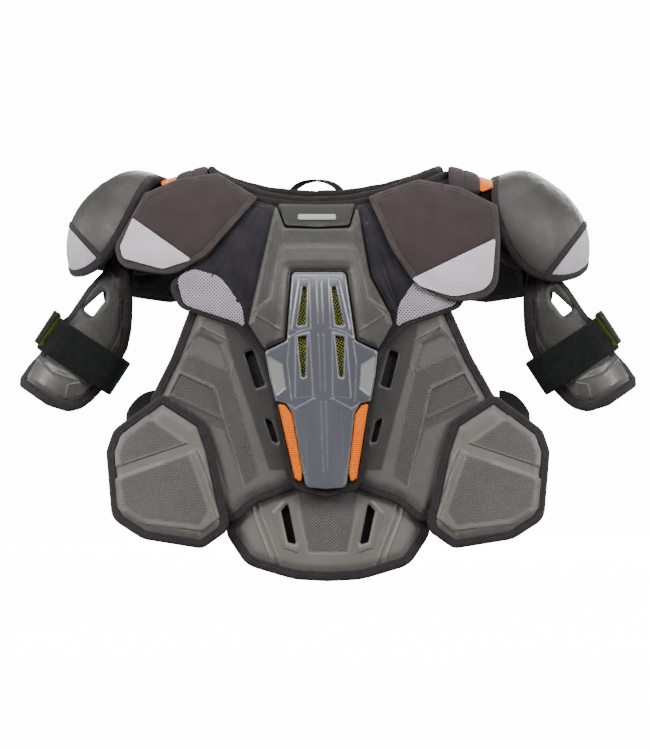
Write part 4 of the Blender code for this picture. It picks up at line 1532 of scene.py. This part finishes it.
def arm(side, way):
    body = f"{side}_arm_guard"
    features = [
        (
            "rise",
            [
                (-46, -104, 4), (-26, -104, 6), (-15, -93, 8), (-4, -77, 6), (8, -53, 6), (14, -34, 6),
                (14, -4, 4), (-40, -4, 4), (-36, -34, 6), (-36, -80, 10),
            ],
            2.4, 2.2,
        ),
        ("rise", [(-50, 26, 3), (12, 26, 3), (20, 44, 4), (8, 58, 4), (-48, 61, 4)], 2.4, 2.4),
        ("bead", [(-48, 33), (-18, 38), (14, 27)], 0.8, 2.0),
        ("bead", [(8, 57), (2, 40), (14, 27)], 0.7, 2.0),
        ("bead", [(-8, -104), (6, -86), (16, -60), (21, -34), (23, 24), (18, 48)], 0.8, 2.2),
    ]
    face = [
        (-44, -102), (-26, -102), (-16, -92), (-5, -76), (7, -52), (13, -33), (13, -4), (-40, -4),
        (-36, -34), (-36, -80),
    ]
    # Painted shade: the band along the guard's inner edge and its ends are darkened, standing in for the
    # shade on that facet and the shadow under the cap.
    painted_shade_area = [
        (60, -140), (-24, -140), (-24, -106), (-14, -95), (-3, -78), (9, -54), (15, -34), (16, -4),
        (15, 24), (22, 44), (10, 60), (-60, 63), (-60, 90), (60, 90),
    ]
    edge = [(0, 3.0), (11, 3.0), (12, 2.2), (15, 0.8), (18, 0)]
    piece(
        panel(
            f"{side}_guard_face", GUARD, round_arm, (0.6, 7.4), "foam_arm", way, edge=edge, inset=INSET,
            features=features, holes=[GUARD_WINDOW],
            hole_edge=((0, 6.0), (1.0, 5.0), (4.6, 0.6), (5.4, 0)), grain=[face], painted_shade=[painted_shade_area], step=2.2,
        ),
        body, "moulded_foam", f"{side}_bicep_guard", fill=1.0,
    )
    taped_edge(
        f"{side}_guard_binding", GUARD, round_arm, 4.4, 1.4, "tape_dark", body, way, width=11, behind=8
    )
    liner = box_outline(-40, -38, 36, 60, 12)
    piece(
        panel(
            f"{side}_guard_liner_face", liner, round_arm, (-5, -1.8), "cloth_black", way, edge=SOFT,
            step=5,
        ),
        body, "black_liner", f"{side}_bicep_liner", fill=0.6,
    )
    turns = np.arange(150) * 360 / 150 - 180.0
    piece(
        belt(f"{side}_bicep_band", way, -22, 24, (0.1, 2.3), "elastic_black", turns), body, "elastic",
        f"{side}_bicep_strap",
    )
    piece(
        belt(f"{side}_lime_loop", way, -26, 19, (2.5, 7.6), "loop_lime", np.linspace(-108, -50, 40)),
        body, "lime_mesh", f"{side}_strap_loop",
    )
    piece(
        belt(f"{side}_black_loop", way, -26, 19, (7.6, 8.5), "webbing_black", np.linspace(-108, -50, 36)),
        body, "webbing",
    )
    sleeve = [
        (28, -62, 8), (14, -90, 30), (-7, -116, 20), (-22, -142, 6), (-62, -142, 8), (-46, -104, 20),
        (-38, -78, 8), (-16, -64, 6),
    ]
    seams = [
        ("bead", [(22, -64), (8, -90), (-14, -118), (-28, -138)], -1.2, 3),
        ("bead", [(10, -64), (-4, -92), (-26, -122), (-36, -138)], 1.0, 4),
    ]
    piece(
        panel(
            f"{side}_sleeve_face", sleeve, round_arm, (-15.5, -11.5), "cloth_sleeve", way,
            edge=[(0, 2.0), (0.6, 1.0), (2, 0.2), (3, 0)], step=3, features=seams,
        ),
        f"{side}_upper_sleeve", "dark_cloth", f"{side}_arm_sleeve", fill=0.4,
    )


# The stage.


def stage():
    """A white floor and a white dome round it. They are lit on their own and don't light the pads."""
    look = bpy.data.materials.new("studio_white")
    look.use_nodes = True
    shader = look.node_tree.nodes["Principled BSDF"]
    shader.inputs["Base Color"].default_value = (0.8, 0.8, 0.8, 1)
    shader.inputs["Roughness"].default_value = 1.0
    shader.inputs["Emission Color"].default_value = (1, 1, 1, 1)
    shader.inputs["Emission Strength"].default_value = 14.0
    for name, low in (("floor", -0.475), ("dome", 0)):
        bm = bmesh.new()
        if name == "floor":
            bmesh.ops.create_circle(bm, cap_ends=True, segments=96, radius=21)
        else:
            bmesh.ops.create_icosphere(bm, subdivisions=5, radius=22)
        mesh = bpy.data.meshes.new(name)
        bm.to_mesh(mesh)
        bm.free()
        mesh.materials.append(look)
        obj = bpy.data.objects.new(name, mesh)
        obj.location = (0, 0, low)
        obj.visible_diffuse = False
        obj.visible_glossy = False
        obj.visible_shadow = False
        bpy.context.scene.collection.objects.link(obj)


def lamp(name, place, aim, size, watts):
    light = bpy.data.lights.new(name, "AREA")
    light.shape = "RECTANGLE"
    light.size, light.size_y = size
    light.energy = watts
    obj = bpy.data.objects.new(name, light)
    obj.location = place
    obj.rotation_euler = (Vector(aim) - Vector(place)).to_track_quat("-Z", "Y").to_euler()
    bpy.context.scene.collection.objects.link(obj)


def lights():
    middle = (0, -0.05, -0.22)
    lamp("key_right", (-2.3, -2.0, 1.0), middle, (1.2, 1.6), 100)
    lamp("key_left", (2.3, -2.0, 0.9), middle, (1.2, 1.6), 92)
    lamp("front", (-0.2, -2.6, 2.2), middle, (1.6, 1.0), 56)
    lamp("top", (0.0, 0.1, 2.4), middle, (2.4, 1.0), 30)
    lamp("rim_left", (2.3, 0.6, 0.0), middle, (0.6, 1.8), 30)
    lamp("rim_right", (-2.3, 0.6, 0.0), middle, (0.6, 1.8), 30)
    lamp("back", (0.6, 3.0, 0.9), middle, (2.2, 1.6), 110)
    world = bpy.data.worlds.new("studio")
    world.use_nodes = True
    world.node_tree.nodes["Background"].inputs["Color"].default_value = (1, 1, 1, 1)
    world.node_tree.nodes["Background"].inputs["Strength"].default_value = 0.3
    bpy.context.scene.world = world


def camera():
    far = 9.0
    data = bpy.data.cameras.new("camera")
    data.sensor_fit = "HORIZONTAL"
    data.sensor_width = 36
    data.lens = 36 * far / 0.78
    data.clip_end = 100
    obj = bpy.data.objects.new("camera", data)
    obj.location = (-0.0036, -0.12 - far, -0.210)
    obj.rotation_euler = (math.pi / 2, 0, 0)
    bpy.context.scene.collection.objects.link(obj)
    bpy.context.scene.camera = obj


bib()
surround()
plate()
belly()
neck()
back()
for side, way in SIDES.items():
    chest(side, way)
    rib(side, way)
    flap(side, way)
    wing(side, way)
    cap(side, way)
    shoulder(side, way)
    waist(side, way)
    arm(side, way)
stage()
lights()
camera()
